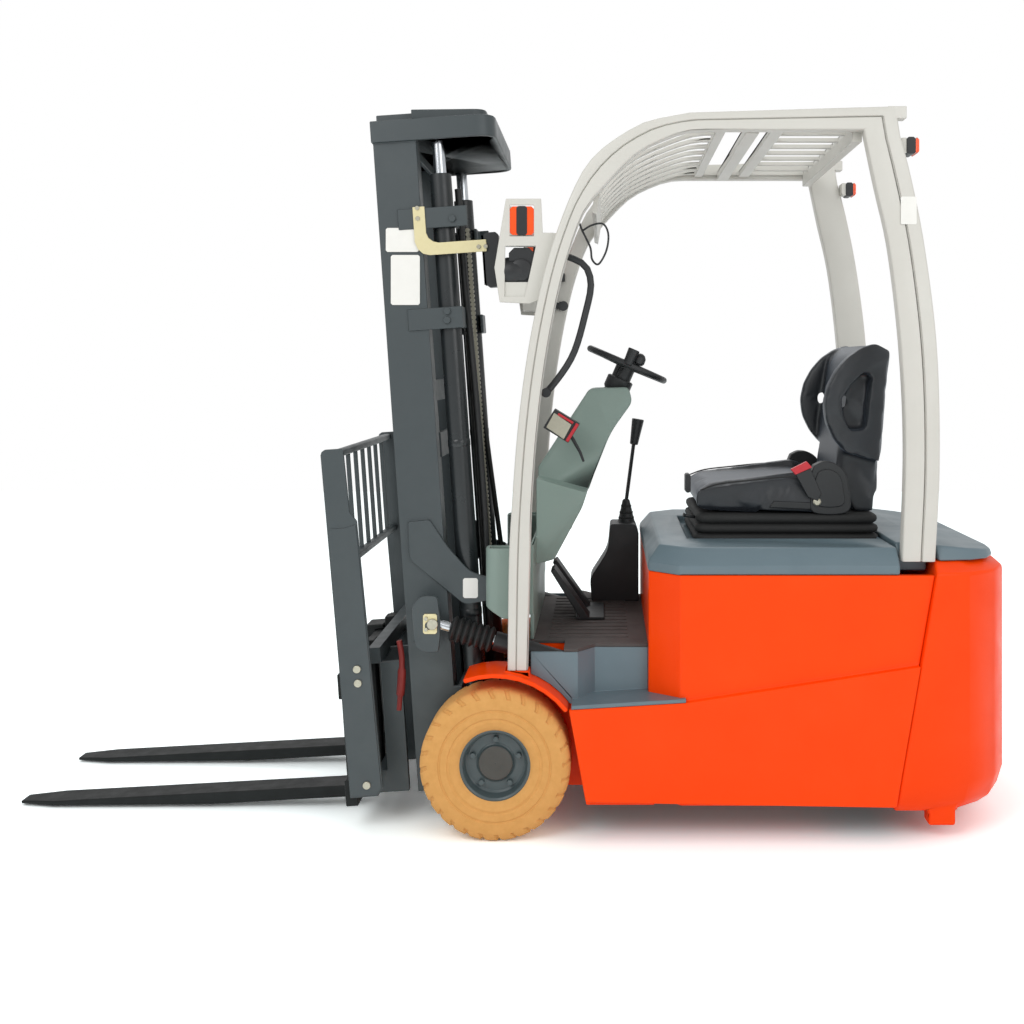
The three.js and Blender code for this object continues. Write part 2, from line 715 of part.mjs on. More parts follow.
// Outer edge of the guard's front pillar and brow, foot to roof.
const browOuter = [
  [40, 842], [50, 1026], [68, 1254], [98, 1481], [143, 1700], [192, 1860], [256, 2011], [316, 2087],
  [401, 2147], [468, 2178],
  [guard.roofStartX, guard.topZ - 3],
];
const browInner = [
  [560, 2140], [440, 2086], [360, 2012], [290, 1932], [250, 1860], [200, 1700], [156, 1481], [127, 1254],
  [110, 1026], [104, 842],
];

const guardRearZ = counterweightTopZ + seatGap;

function guardSide(side) {
  const shape = new THREE.Shape();
  shape.moveTo(guardFoot.front, guardFoot.z);
  shape.splineThru(points2(browOuter));
  shape.lineTo(guard.rearX, guard.topZ + 17);
  shape.lineTo(guard.rearX, guard.topZ - 16);
  shape.lineTo(guard.rearX - 32, guard.topZ - 30);
  shape.splineThru(points2([[1260, 2010], [1304, 1784], [1340, 1481], [1348, 1136], [1334, guardRearZ]]));
  shape.lineTo(1334 - guard.legDepth, guardRearZ);
  shape.splineThru(
    points2([[1244, 1180], [1231, 1481], [1196, 1784], [1152, 1985], [1118, guard.topZ - guard.railDepth]]),
  );
  shape.lineTo(640, guard.topZ - guard.railDepth);
  shape.splineThru(points2(browInner));
  shape.lineTo(guardFoot.rear, guardFoot.z);
  shape.closePath();
  const inner = guardHalfWidth - guardThickness;
  return sidePlate(shape, side * inner, side * guardHalfWidth);
}

const roof = {
  sheet: 12, slatWidth: 24, slats: 7, frontX: 300,
  plateX: [676, 706], barX: [764, 806], rearPlateX: [845, 885], rearX: [1092, 1122],
};

function roofGrille() {
  const reach = guardHalfWidth - guardThickness - seatGap;
  const under = guard.topZ - guard.railDepth + 12;
  const curve = new THREE.SplineCurve(
    points2([[300, 1950], [345, 2015], [420, 2080], [520, 2128], [620, under], [700, under + 2]]),
  );
  const low = curve.getPoints(14);
  const high = low.map((p) => new THREE.Vector2(p.x - 3, p.y + roof.sheet)).reverse();
  const strip = new THREE.Shape([...low, ...high]);
  const pieces = [];
  const pitch = (2 * reach) / (roof.slats + 1);
  for (let n = 1; n <= roof.slats; n++) {
    const y = -reach + n * pitch;
    pieces.push(sidePlate(strip, y - roof.slatWidth / 2, y + roof.slatWidth / 2));
    const rear = block(
      roof.rearPlateX[0] + 2, roof.rearX[1] - 2, y - roof.slatWidth / 2, y + roof.slatWidth / 2,
      under + 2, under + 2 + roof.sheet,
    );
    pieces.push(rear);
  }
  for (const [, side] of sides) {
    const edge = [side * (reach - 16), side * (reach - 0.5)];
    pieces.push(sidePlate(strip, ...edge));
    pieces.push(block(roof.plateX[0] + 2, roof.rearX[1] - 2, ...edge, under + 2, under + 2 + roof.sheet));
  }
  const across = ([x0, x1], z0, z1) => block(x0, x1, -reach, reach, z0, z1);
  const front = sidePlate([[292, 1905], [306, 1898], [318, 1972], [300, 1978]], -reach, reach);
  pieces.push(
    front,
    across(roof.plateX, under - 4, under + 4 + roof.sheet),
    across(roof.barX, under - 14, under + 5 + roof.sheet),
    across(roof.rearPlateX, under - 4, under + 4 + roof.sheet),
    across(roof.rearX, under - 40, under + 4 + roof.sheet),
  );
  return joined(...pieces);
}

function grabHandle() {
  const y = -(guardHalfWidth - guardThickness) + 14;
  const bend = [
    [186, y, 1780], [222, y, 1768], [270, y, 1742], [288, y, 1690],
    [270, y, 1590], [232, y, 1465], [180, y, 1385], [150, y, 1350],
  ];
  const grip = tube(bend, 11, 20);
  const feet = [[186, 1780], [150, 1350]].map(([x, z]) =>
    bar([x, y - 14 + seatGap, z], [x, y + 4, z], 15, 16),
  );
  return joined(grip, ...feet);
}

function lampCluster(side) {
  const outer = guardHalfWidth - 35;
  const inner = outer - 8;
  const pillarEdge = 0.5;
  const plate = [
    [28, 1945], [136, 1945], [141, 1840], [200, 1840], [170, 1681], [125, 1633], [99, 1623], [9, 1628],
    [-7, 1734],
  ];
  const windows = [
    [[40, 1925], [114, 1925], [114, 1830], [40, 1830]],
    [[26, 1800], [120, 1800], [86, 1645], [24, 1645]],
  ];
  const openings = windows.map((corners) => sidePlate(corners, side * (inner - 1), side * (outer + 1)));
  const face = cut(sidePlate(plate, side * inner, side * outer), ...openings);
  const turnLamp = block(30, 105, side * 390, side * (inner + 1), 1832, 1922);
  const headLamp = bar([14, side * 415, 1722], [104, side * 415, 1722], 34);
  const shelf = block(20, 118, side * 385, side * (inner + 1), 1804, 1820);
  const bracket = block(20, 112, side * 385, side * (inner + 1), 1640, 1690);
  const pillar = sidePlate(pillarRoom(pillarEdge), side * (inner - 80), side * (outer + 1));
  return cut(joined(face, turnLamp, headLamp, shelf, bracket), pillar);
}

// The band that the front pillar fills, grown a little to the front, for pieces that butt against it.
function pillarRoom(grow) {
  const shape = new THREE.Shape();
  shape.moveTo(guardFoot.front - grow, guardFoot.z);
  shape.splineThru(points2(browOuter).map((p) => p.add(new THREE.Vector2(-grow, grow / 2))));
  shape.lineTo(700, 2100);
  shape.lineTo(700, guardFoot.z);
  shape.closePath();
  return shape;
}

for (const [word, side] of sides) {
  add(truck, `guard_side_${word}`, guardSide(side), guardGrey);
  add(truck, `lamp_cluster_${word}`, lampCluster(side), guardGrey);
}
add(truck, "roof_grille", roofGrille(), guardGrey);
add(truck, "grab_handle", grabHandle(), blackPlastic);

// ---------------------------------------------------------------- wheels
function tyre(radius, bore, width, x, y) {
  const half = width / 2;
  const shoulder = 14;
  const wall = (radius - bore) * 0.45;
  const profile = [
    [bore, -half + 8], [bore + 12, -half + 2], [bore + wall, -half], [radius - 5, -half + 5],
    [radius, -half + shoulder], [radius, half - shoulder], [radius - 5, half - 5],
    [bore + wall, half], [bore + 12, half - 2], [bore, half - 8],
  ];
  return spun(profile, x, y, radius, round);
}

// A disc wheel: a rim band with a pressed disc whose hub runs on a stub of the given radius.
function rim(radius, width, stub, x, y, z, outward) {
  const half = width / 2;
  const bore = stub + runningGap;
  const profile = [
    [bore, -half + 10], [radius - 18, -half + 10], [radius - 14, -half], [radius, -half],
    [radius, half], [radius - 14, half], [radius - 18, half - 34], [bore, half - 34],
  ].map(([r, h]) => [r, h * outward]);
  return spun(outward > 0 ? profile : profile.reverse(), x, y, z, round);
}

function steerKnuckle() {
  const top = steerDeck.top - steerDeck.sheet - seatGap;
  const z = rearTyreRadius;
  const disc = bar([wheelbase, 0, top - 28], [wheelbase, 0, top], 120, round);
  const web = block(
    wheelbase - 55, wheelbase + 55, -twinGap / 2 + clearance, twinGap / 2 - clearance, z - 45, top - 20,
  );
  const shaft = twinGap / 2 + rearTyreWidth - 40;
  return joined(disc, web, bar([wheelbase, -shaft, z], [wheelbase, shaft, z], 26, round));
}

for (const [word, side] of sides) {
  const frontY = side * (halfWidth - frontTyreWidth / 2);
  const rearY = side * ((twinGap + rearTyreWidth) / 2);
  add(truck, `front_tyre_${word}`, tyre(frontTyreRadius, frontRimRadius, frontTyreWidth, 0, frontY), tanTyre);
  const frontRim = rim(
    frontRimRadius - seatGap, frontTyreWidth - 30, wheelStubRadius, 0, frontY, axleZ, side,
  );
  add(truck, `front_rim_${word}`, frontRim, rimGrey);
  add(
    truck, `rear_tyre_${word}`, tyre(rearTyreRadius, rearRimRadius, rearTyreWidth, wheelbase, rearY),
    blackTyre,
  );
  const rearRim = rim(
    rearRimRadius - seatGap, rearTyreWidth - 16, 26, wheelbase, rearY, rearTyreRadius, side,
  );
  add(truck, `rear_rim_${word}`, rearRim, rimGrey);
}
add(truck, "steer_knuckle", steerKnuckle(), slate);

// ---------------------------------------------------------------- mast stages
const crosshead = { z0: 2159, z1: 2227, rearX: 120, sheet: 12 };
const liftAt = { x: -68, y: mastHalfWidth - 45, bottomZ: axleZ + 101.5, glandZ: 2054 };
const eyeAt = [-181, floorZ + 81]; // tilt rod's eye on the upright mast
const lowerTie = { z0: axleZ + 71.5, z1: axleZ + 201.5 };

// Plan outline of a channel that opens inwards.
function channelPlan(side, frontX, backX, outer, inner, web = railWeb) {
  const y = (value) => side * value;
  return [
    [frontX, y(outer)], [backX, y(outer)], [backX, y(inner)], [backX - railFlange, y(inner)],
    [backX - railFlange, y(outer - web)], [frontX + railFlange, y(outer - web)],
    [frontX + railFlange, y(inner)], [frontX, y(inner)],
  ];
}

// The three stages nest, each a pair of channels whose webs clear the flanges outside them.
const outerStage = {
  front: railFrontX, back: mastBackX, webY: mastHalfWidth, web: 14, flangeY: mastHalfWidth - 58,
};
const middleStage = {
  front: railFrontX + 4, back: mastBackX - 6,
  webY: outerStage.flangeY - clearance, web: railWeb, flangeY: outerStage.flangeY - 58,
};
const innerStage = {
  front: middleStage.front + 4, back: middleStage.back - 12,
  webY: middleStage.flangeY - clearance, web: railWeb, flangeY: middleStage.flangeY - 54,
};
const middleTie = { front: innerStage.back + clearance, back: innerStage.back + clearance + 16 };
const outerTie = { front: middleTie.back + clearance, back: middleTie.back + clearance + 16 };
const topPlate = { halfWidth: mastHalfWidth - 20, rearX: 88, sheet: 30 };

function stageRail(side, stage, z0, z1) {
  const plan = channelPlan(side, stage.front, stage.back, stage.webY, stage.flangeY, stage.web);
  return planPlate(plan, z0, z1);
}

function outerMast() {
  const band = [
    [railFrontX - 4, -mastHalfWidth - crosshead.sheet],
    [crosshead.rearX, -mastHalfWidth - crosshead.sheet, 70],
    [crosshead.rearX, mastHalfWidth + crosshead.sheet, 70], [railFrontX - 4, mastHalfWidth + crosshead.sheet],
    [railFrontX - 4, mastHalfWidth - 1], [crosshead.rearX - crosshead.sheet, mastHalfWidth - 1, 58],
    [crosshead.rearX - crosshead.sheet, -mastHalfWidth + 1, 58], [railFrontX - 4, -mastHalfWidth + 1],
  ];
  const pieces = [
    planPlate(band, crosshead.z0, crosshead.z1),
    block(outerTie.front, outerTie.back, -mastHalfWidth + 12, mastHalfWidth - 12, lowerTie.z0, lowerTie.z1),
    block(-4, 10, -mastHalfWidth - 11, mastHalfWidth + 11, 700, 764),
  ];
  const yokeBore = bar([0, -halfWidth, axleZ], [0, halfWidth, axleZ], axleRadius + runningGap, round);
  const clampX = liftAt.x + liftBarrelRadius + seatGap;
  for (const [, side] of sides) {
    const face = side * (mastHalfWidth - 1);
    const padZ = [lowerTie.z0, liftAt.bottomZ - seatGap];
    pieces.push(stageRail(side, outerStage, mastBottomZ, outerRailTopZ));
    pieces.push(
      block(liftAt.x - 38, liftAt.x + 38, side * (liftAt.y - 38), side * (liftAt.y + 33), ...padZ),
      block(
        mastBackX - 2, outerTie.back, side * (mastHalfWidth - 14), side * mastHalfWidth, lowerTie.z0 - 60,
        lowerTie.z1,
      ),
    );
    for (const [frontX, rearX, z0, z1] of [[-205, 14, 1879, 1944], [-195, clampX + 11, 1559, 1627]]) {
      pieces.push(block(frontX, rearX, face, side * (mastHalfWidth + 7), z0, z1));
      pieces.push(block(clampX, clampX + 11, side * (liftAt.y - 38), side * (mastHalfWidth + 7), z0, z1));
    }
    const yokeY = [side * (mastHalfWidth - 14), side * mastHalfWidth];
    const yoke = joined(
      sidePlate([[mastBackX - 2, 150], [-10, 150], [-10, 306], [mastBackX - 2, 306]], ...yokeY),
      bar([0, yokeY[0], axleZ], [0, yokeY[1], axleZ], 88, round),
    );
    pieces.push(cut(yoke, yokeBore));
    const gusset = [
      [-240, 959, 8], [-170, 961, 8], [-122, 875, 20], [-55, 788, 30], [-3, 769, 6], [2, 695, 6],
      [-78, 685, 20], [-242, 839, 20],
    ];
    pieces.push(sidePlate(gusset, face, side * (mastHalfWidth + 11)));
    pieces.push(tiltLug(side));
  }
  return joined(...pieces);
}

// The lug on the rail's outer face that holds the tilt rod's pin.
function tiltLug(side) {
  const [x, z] = eyeAt;
  const near = side * (mastHalfWidth - 1);
  const far = side * (tiltCylinderY + tiltEyeHalfWidth + 24);
  const plateIn = side * (tiltCylinderY + tiltEyeHalfWidth + 9);
  const cheek = [
    [x - 50, z - 62, 14], [x - 50, z + 62, 14], [x - 20, z + 92, 18], [x + 30, z + 88, 14],
    [x + 34, z + 20], [x + 30, z - 40], [x + 22, z - 84, 8], [x - 22, z - 84, 14],
  ];
  const web = block(x - 50, x - 36, near, far, z - 50, z + 50);
  return joined(
    sidePlate(cheek, plateIn, far), web,
    bar([x, near, z], [x, far + side * 6, z], pivotPinRadius),
  );
}

function middleMast() {
  const z0 = mastBottomZ + stageStepZ;
  const plateZ = crosshead.z1 + clearance;
  const { halfWidth: plateY, rearX, sheet } = topPlate;
  const plate = [
    [middleTie.front, -plateY], [rearX, -plateY + 60, 40], [rearX, plateY - 60, 40],
    [middleTie.front, plateY],
  ];
  const tieY = middleStage.webY - 2;
  const tie = (low, high) => block(middleTie.front, middleTie.back, -tieY, tieY, low, high);
  const pieces = [planPlate(plate, plateZ, plateZ + sheet), tie(150, 260), tie(1150, 1230)];
  for (const [, side] of sides) {
    pieces.push(
      stageRail(side, middleStage, z0, plateZ + sheet - 2),
      footRoller(side, middleStage.webY - 1, outerStage, z0 + 70),
    );
  }
  return joined(...pieces);
}

// A roller on a stage's foot that runs between the flanges of the rail outside it.
function footRoller(side, fromY, rail, z) {
  const x = (rail.front + rail.back) / 2;
  const radius = (rail.back - rail.front) / 2 - railFlange - rollerPlay;
  return bar([x, side * fromY, z], [x, side * (rail.webY - rail.web - rollerPlay), z], radius, coarse);
}

const freeLift = { x: -214, radius: 42, rod: 28, top: 1290, base: 150 };

function innerMast() {
  const z0 = mastBottomZ + 2 * stageStepZ;
  const top = crosshead.z1 - 4;
  const tieX = [innerStage.back - railFlange + 2, innerStage.back - 1];
  const tieY = innerStage.webY - 2;
  const tie = (low, high) => block(...tieX, -tieY, tieY, low, high);
  const foot = block(freeLift.x - 45, tieX[0] + 1, -60, 60, freeLift.base, freeLift.base + 25);
  const pieces = [tie(2130, top), tie(freeLift.base, 240), tie(1330, 1400), foot];
  for (const [, side] of sides) {
    pieces.push(
      stageRail(side, innerStage, z0, top), footRoller(side, innerStage.webY - 1, middleStage, z0 + 60),
    );
  }
  return joined(...pieces);
}

function freeLiftBarrel() {
  const z = freeLift.base + 25 + seatGap;
  const bored = bar(
    [freeLift.x, 0, z + 280], [freeLift.x, 0, freeLift.top + 1], freeLift.rod + runningGap, round,
  );
  return cut(bar([freeLift.x, 0, z], [freeLift.x, 0, freeLift.top], freeLift.radius, round), bored);
}

function freeLiftRod() {
  const head = freeLift.top + seatGap;
  const rod = bar([freeLift.x, 0, freeLift.top - 800], [freeLift.x, 0, head + 40], freeLift.rod, round);
  const yoke = block(freeLift.x - 30, freeLift.x + 30, -70, 70, head + 20, head + 70);
  const sheaves = sides.map(([, side]) =>
    bar([freeLift.x, side * 38, head + 62], [freeLift.x, side * 66, head + 62], 44),
  );
  return joined(rod, yoke, ...sheaves);
}

function liftBarrel(side) {
  const from = [liftAt.x, side * liftAt.y, liftAt.bottomZ];
  const to = [liftAt.x, side * liftAt.y, liftAt.glandZ];
  const boreFrom = [liftAt.x, side * liftAt.y, liftAt.bottomZ + 120];
  const boreTo = [liftAt.x, side * liftAt.y, liftAt.glandZ + 1];
  return cut(bar(from, to, liftBarrelRadius, coarse), bar(boreFrom, boreTo, liftRodRadius + 1, coarse));
}

function liftRod(side) {
  const top = crosshead.z1 + clearance - seatGap;
  return bar(
    [liftAt.x, side * liftAt.y, liftAt.bottomZ + 150], [liftAt.x, side * liftAt.y, top], liftRodRadius,
    coarse,
  );
}

function mastLamp() {
  const y0 = -mastHalfWidth - 7 - seatGap;
  const strap = sidePlate(
    [
      [-156, 1948, 16], [-118, 1948, 16], [-118, 1858, 30], [-81, 1831, 10], [69, 1831], [69, 1793],
      [-111, 1793, 30], [-156, 1838, 30],
    ],
    y0, y0 - 5,
  );
  const box = block(64, 107, y0 - 5, y0 + 50, 1680, 1853);
  return joined(strap, box);
}

add(mast, "outer_mast", outerMast(), slate);
add(mast, "middle_mast", middleMast(), slate);
add(mast, "inner_mast", innerMast(), slate);
add(mast, "free_lift_barrel", freeLiftBarrel(), slate);
add(mast, "free_lift_rod", freeLiftRod(), chrome);
add(mast, "mast_lamp", mastLamp(), blackPlastic);
for (const [word, side] of sides) {
  add(mast, `lift_barrel_${word}`, liftBarrel(side), slate);
  add(mast, `lift_rod_${word}`, liftRod(side), chrome);
}

// ---------------------------------------------------------------- tilt cylinders
const tiltRodLength = 160;
const tiltBarrelStart = 205;
const bellowsRadius = 42;

function tiltCylinder(side) {
  const [ex, ez] = leant(eyeAt);
  const [px, pz] = tiltPivot;
  const y = side * tiltCylinderY;
  const reach = Math.hypot(px - ex, pz - ez);
  const at = (distance) => [ex + ((px - ex) * distance) / reach, y, ez + ((pz - ez) * distance) / reach];
  const eye = (x, z, radius) => bar([x, y - tiltEyeHalfWidth, z], [x, y + tiltEyeHalfWidth, z], radius);
  const pinHole = (x, z, play) => bar([x, y - 60, z], [x, y + 60, z], pivotPinRadius + play);
  const rod = joined(
    eye(ex, ez, 28), bar(at(10), at(tiltBarrelStart + tiltRodLength / 2), tiltRodRadius, round),
  );
  const barrel = cut(
    bar(at(tiltBarrelStart), at(reach - 20), tiltBarrelRadius, round),
    bar(at(tiltBarrelStart - 1), at(reach - 55), tiltRodRadius + 1, round),
  );
  const folds = 5;
  const [bellowsFrom, bellowsTo] = [60, tiltBarrelStart - seatGap];
  const pitch = (bellowsTo - bellowsFrom) / folds;
  const profile = [];
  for (let n = 0; n < folds; n++) {
    profile.push([bellowsRadius - 10, n * pitch], [bellowsRadius, (n + 0.5) * pitch]);
  }
  profile.push(
    [bellowsRadius - 10, folds * pitch], [tiltRodRadius + 3, folds * pitch], [tiltRodRadius + 3, 0],
  );
  const closed = [...profile, profile[0]].map(([r, h]) => new THREE.Vector2(r, h));
  const boot = solidOf(aimed(new THREE.LatheGeometry(closed, 20), at(bellowsFrom), at(bellowsTo)));
  return {
    rod: cut(rod, pinHole(ex, ez, 3)),
    barrel: cut(joined(barrel, eye(px, pz, 29)), pinHole(px, pz, runningGap)),
    boot,
  };
}

for (const [word, side] of sides) {
  const { rod, barrel, boot } = tiltCylinder(side);
  add(truck, `tilt_bellows_${word}`, boot, blackPlastic);
  add(truck, `tilt_rod_${word}`, rod, chrome);
  add(truck, `tilt_barrel_${word}`, barrel, blackPlastic);
}

// ---------------------------------------------------------------- carriage and forks
const rollerX = (innerStage.back + innerStage.front) / 2;
const carriageBar = { x0: -398, x1: -360 };
const forkBack = forkFaceX + forkThickness;
const forkBarBack = forkBack + 38;

function liftCarriage() {
  const bars = [[mastBottomZ, mastBottomZ + 70], [carriageTopZ - 2, carriageTopZ + 48]].map(([z0, z1]) =>
    block(carriageBar.x0, carriageBar.x1, -carriageHalfWidth, carriageHalfWidth, z0, z1),
  );
  const pieces = [...bars];
  for (const [, side] of sides) {
    const plateY = innerStage.flangeY - clearance;
    pieces.push(
      block(
        carriageBar.x0, rollerX + 30, side * (plateY - 16), side * plateY, mastBottomZ + 45,
        carriageTopZ + 10,
      ),
      footRoller(side, plateY - 1, innerStage, 205),
      footRoller(side, plateY - 1, innerStage, 465),
    );
    const endBar = block(
      carriageBar.x0 + 35, railFrontX - 30,
      side * (carriageHalfWidth - 22), side * carriageHalfWidth, mastBottomZ, carriageTopZ,
    );
    pieces.push(endBar);
  }
  return joined(...pieces);
}

function sideshiftFrame() {
  const reach = backrestHalfWidth - 12 - seatGap;
  const front = forkBack + seatGap;
  const bars = [[110, 190], [carriageTopZ - 77, carriageTopZ]].map(([z0, z1]) =>
    block(front, forkBarBack, -reach, reach, z0, z1),
  );
  const padBack = carriageBar.x0 - seatGap - 0.2;
  const posts = sides.flatMap(([, side]) => [
    block(forkBarBack - 1, carriageBar.x0 - clearance, side * 150, side * 210, 110, carriageTopZ + 45),
    block(
      carriageBar.x0 - clearance - 1, padBack, side * 155, side * 205, carriageTopZ + 4, carriageTopZ + 42,
    ),
    block(carriageBar.x0 - clearance - 1, padBack, side * 155, side * 205, 115, 165),
  ]);
  return joined(...bars, ...posts);
}

function loadBackrest() {
  const sheet = 12;
  const bars = 7;
  const bay = backrestHalfWidth - sheet;
  const grid = { x0: -452, x1: -424, lowZ: 832, rail: 24 };
  const sidePiece = [
    [-456, 140], [-474, backrestTopZ, 40], [-404, backrestTopZ, 12], [-398, 1015], [-378, 985], [-354, 165],
    [-370, 140],
  ];
  const pieces = sides.map(([, side]) => sidePlate(sidePiece, side * bay, side * backrestHalfWidth));
  const rail = (z) => block(grid.x0, grid.x1, -bay - 1, bay + 1, z, z + grid.rail);
  pieces.push(rail(grid.lowZ), rail(backrestTopZ - grid.rail - 6));
  const pitch = (2 * bay) / (bars + 1);
  for (let n = 1; n <= bars; n++) {
    const y = -bay + n * pitch;
    pieces.push(block(grid.x0, grid.x1, y - 6, y + 6, grid.lowZ + 1, backrestTopZ - grid.rail));
  }
  return joined(...pieces);
}

function fork(side) {
  const tip = forkFaceX - forkLength;
  const heel = forkTopZ - forkThickness;
  const tipZ = forkTopZ + forkRise;
  const profile = [
    [tip, tipZ], [tip, tipZ - forkTipThickness], [forkFaceX - forkLength * 0.42, heel + forkRise * 0.42],
    [forkBack, heel, 20], [forkBack, carriageTopZ + seatGap], [forkBack + 30, carriageTopZ + seatGap],
    [forkBack + 30, carriageTopZ + 18], [forkFaceX, carriageTopZ + 18, 12], [forkFaceX, forkTopZ, 14],
  ];
  const y = side * forkCentreY;
  const blade = sidePlate(profile, y - forkWidth / 2, y + forkWidth / 2);
  const corner = 120;
  const nips = [-1, 1].map((way) =>
    planPlate(
      [
        [tip - 1, y + way * 28], [tip + corner, y + way * (forkWidth / 2 + 1)],
        [tip - 1, y + way * (forkWidth / 2 + 1)],
      ],
      0, forkTopZ + 20,
    ),
  );
  return cut(blade, ...nips);
}

add(mast, "lift_carriage", liftCarriage(), slate);
add(mast, "sideshift_frame", sideshiftFrame(), forkBlack);
add(mast, "load_backrest", loadBackrest(), slate);
for (const [word, side] of sides) add(mast, `fork_${word}`, fork(side), forkBlack);

// ---------------------------------------------------------------- place on the ground, centred
truck.updateMatrixWorld(true);
const extent = new THREE.Box3().setFromObject(truck, true);
truck.position.set(-(extent.min.x + extent.max.x) / 2, 0, 0);

export default truck;
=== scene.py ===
import json
import math
import bmesh
import bpy
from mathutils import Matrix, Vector


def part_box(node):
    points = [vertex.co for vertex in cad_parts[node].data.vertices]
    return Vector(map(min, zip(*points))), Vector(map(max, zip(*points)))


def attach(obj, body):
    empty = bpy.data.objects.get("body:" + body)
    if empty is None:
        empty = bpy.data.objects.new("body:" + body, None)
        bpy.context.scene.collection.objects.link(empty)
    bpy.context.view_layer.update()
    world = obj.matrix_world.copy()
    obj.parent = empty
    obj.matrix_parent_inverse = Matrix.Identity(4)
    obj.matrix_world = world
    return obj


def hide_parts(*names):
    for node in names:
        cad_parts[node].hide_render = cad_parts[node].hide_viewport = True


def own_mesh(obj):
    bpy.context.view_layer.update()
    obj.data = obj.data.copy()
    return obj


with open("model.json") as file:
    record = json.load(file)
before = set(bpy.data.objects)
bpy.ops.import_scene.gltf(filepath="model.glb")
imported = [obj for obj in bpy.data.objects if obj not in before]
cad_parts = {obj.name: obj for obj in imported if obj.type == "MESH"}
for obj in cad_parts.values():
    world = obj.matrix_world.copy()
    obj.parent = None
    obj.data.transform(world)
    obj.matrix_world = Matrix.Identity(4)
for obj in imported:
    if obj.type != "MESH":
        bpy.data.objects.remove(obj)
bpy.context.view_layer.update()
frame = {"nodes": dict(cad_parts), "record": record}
scene = bpy.context.scene
nodes = frame["nodes"]
record = frame["record"]
bodyOfNode = {node: body for body, members in record["behaviour"]["bodies"].items() for node in members}
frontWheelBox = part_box("front_tyre_left")
axleX = (frontWheelBox[0].x + frontWheelBox[1].x) / 2
sides = (("left", -1), ("right", 1))
print("frame loaded:", len(nodes), "nodes")


def at(x, y, z):  # millimetres counted from the front axle, to metres in the frame
    return Vector((axleX + x / 1000, y / 1000, z / 1000))


# Camera: level, square to the truck's left side, its picture moved sideways and down.
view = {"fromAxle": 328.5, "y": -3980, "z": 1438.5, "lens": 40.43, "shiftX": -0.0898, "shiftY": -0.1445}
camera = bpy.data.objects.new("camera", bpy.data.cameras.new("camera"))
camera.data.sensor_width = 36
camera.data.lens = view["lens"]
camera.data.shift_x = view["shiftX"]
camera.data.shift_y = view["shiftY"]
camera.location = at(view["fromAxle"], view["y"], view["z"])
camera.rotation_euler = (math.pi / 2, 0, 0)
scene.collection.objects.link(camera)
scene.camera = camera


# Materials
def linear(hexText):
    values = [int(hexText[i:i + 2], 16) / 255 for i in (1, 3, 5)]
    return [v / 12.92 if v <= 0.04045 else ((v + 0.055) / 1.055) ** 2.4 for v in values] + [1.0]


def addNode(tree, kind, settings=None, links=None):
    made = tree.nodes.new(kind)
    for key, value in (settings or {}).items():
        if isinstance(key, str) and hasattr(made, key):
            setattr(made, key, value)
        else:
            made.inputs[key].default_value = value
    for key, source in (links or {}).items():
        tree.links.new(source, made.inputs[key])
    return made


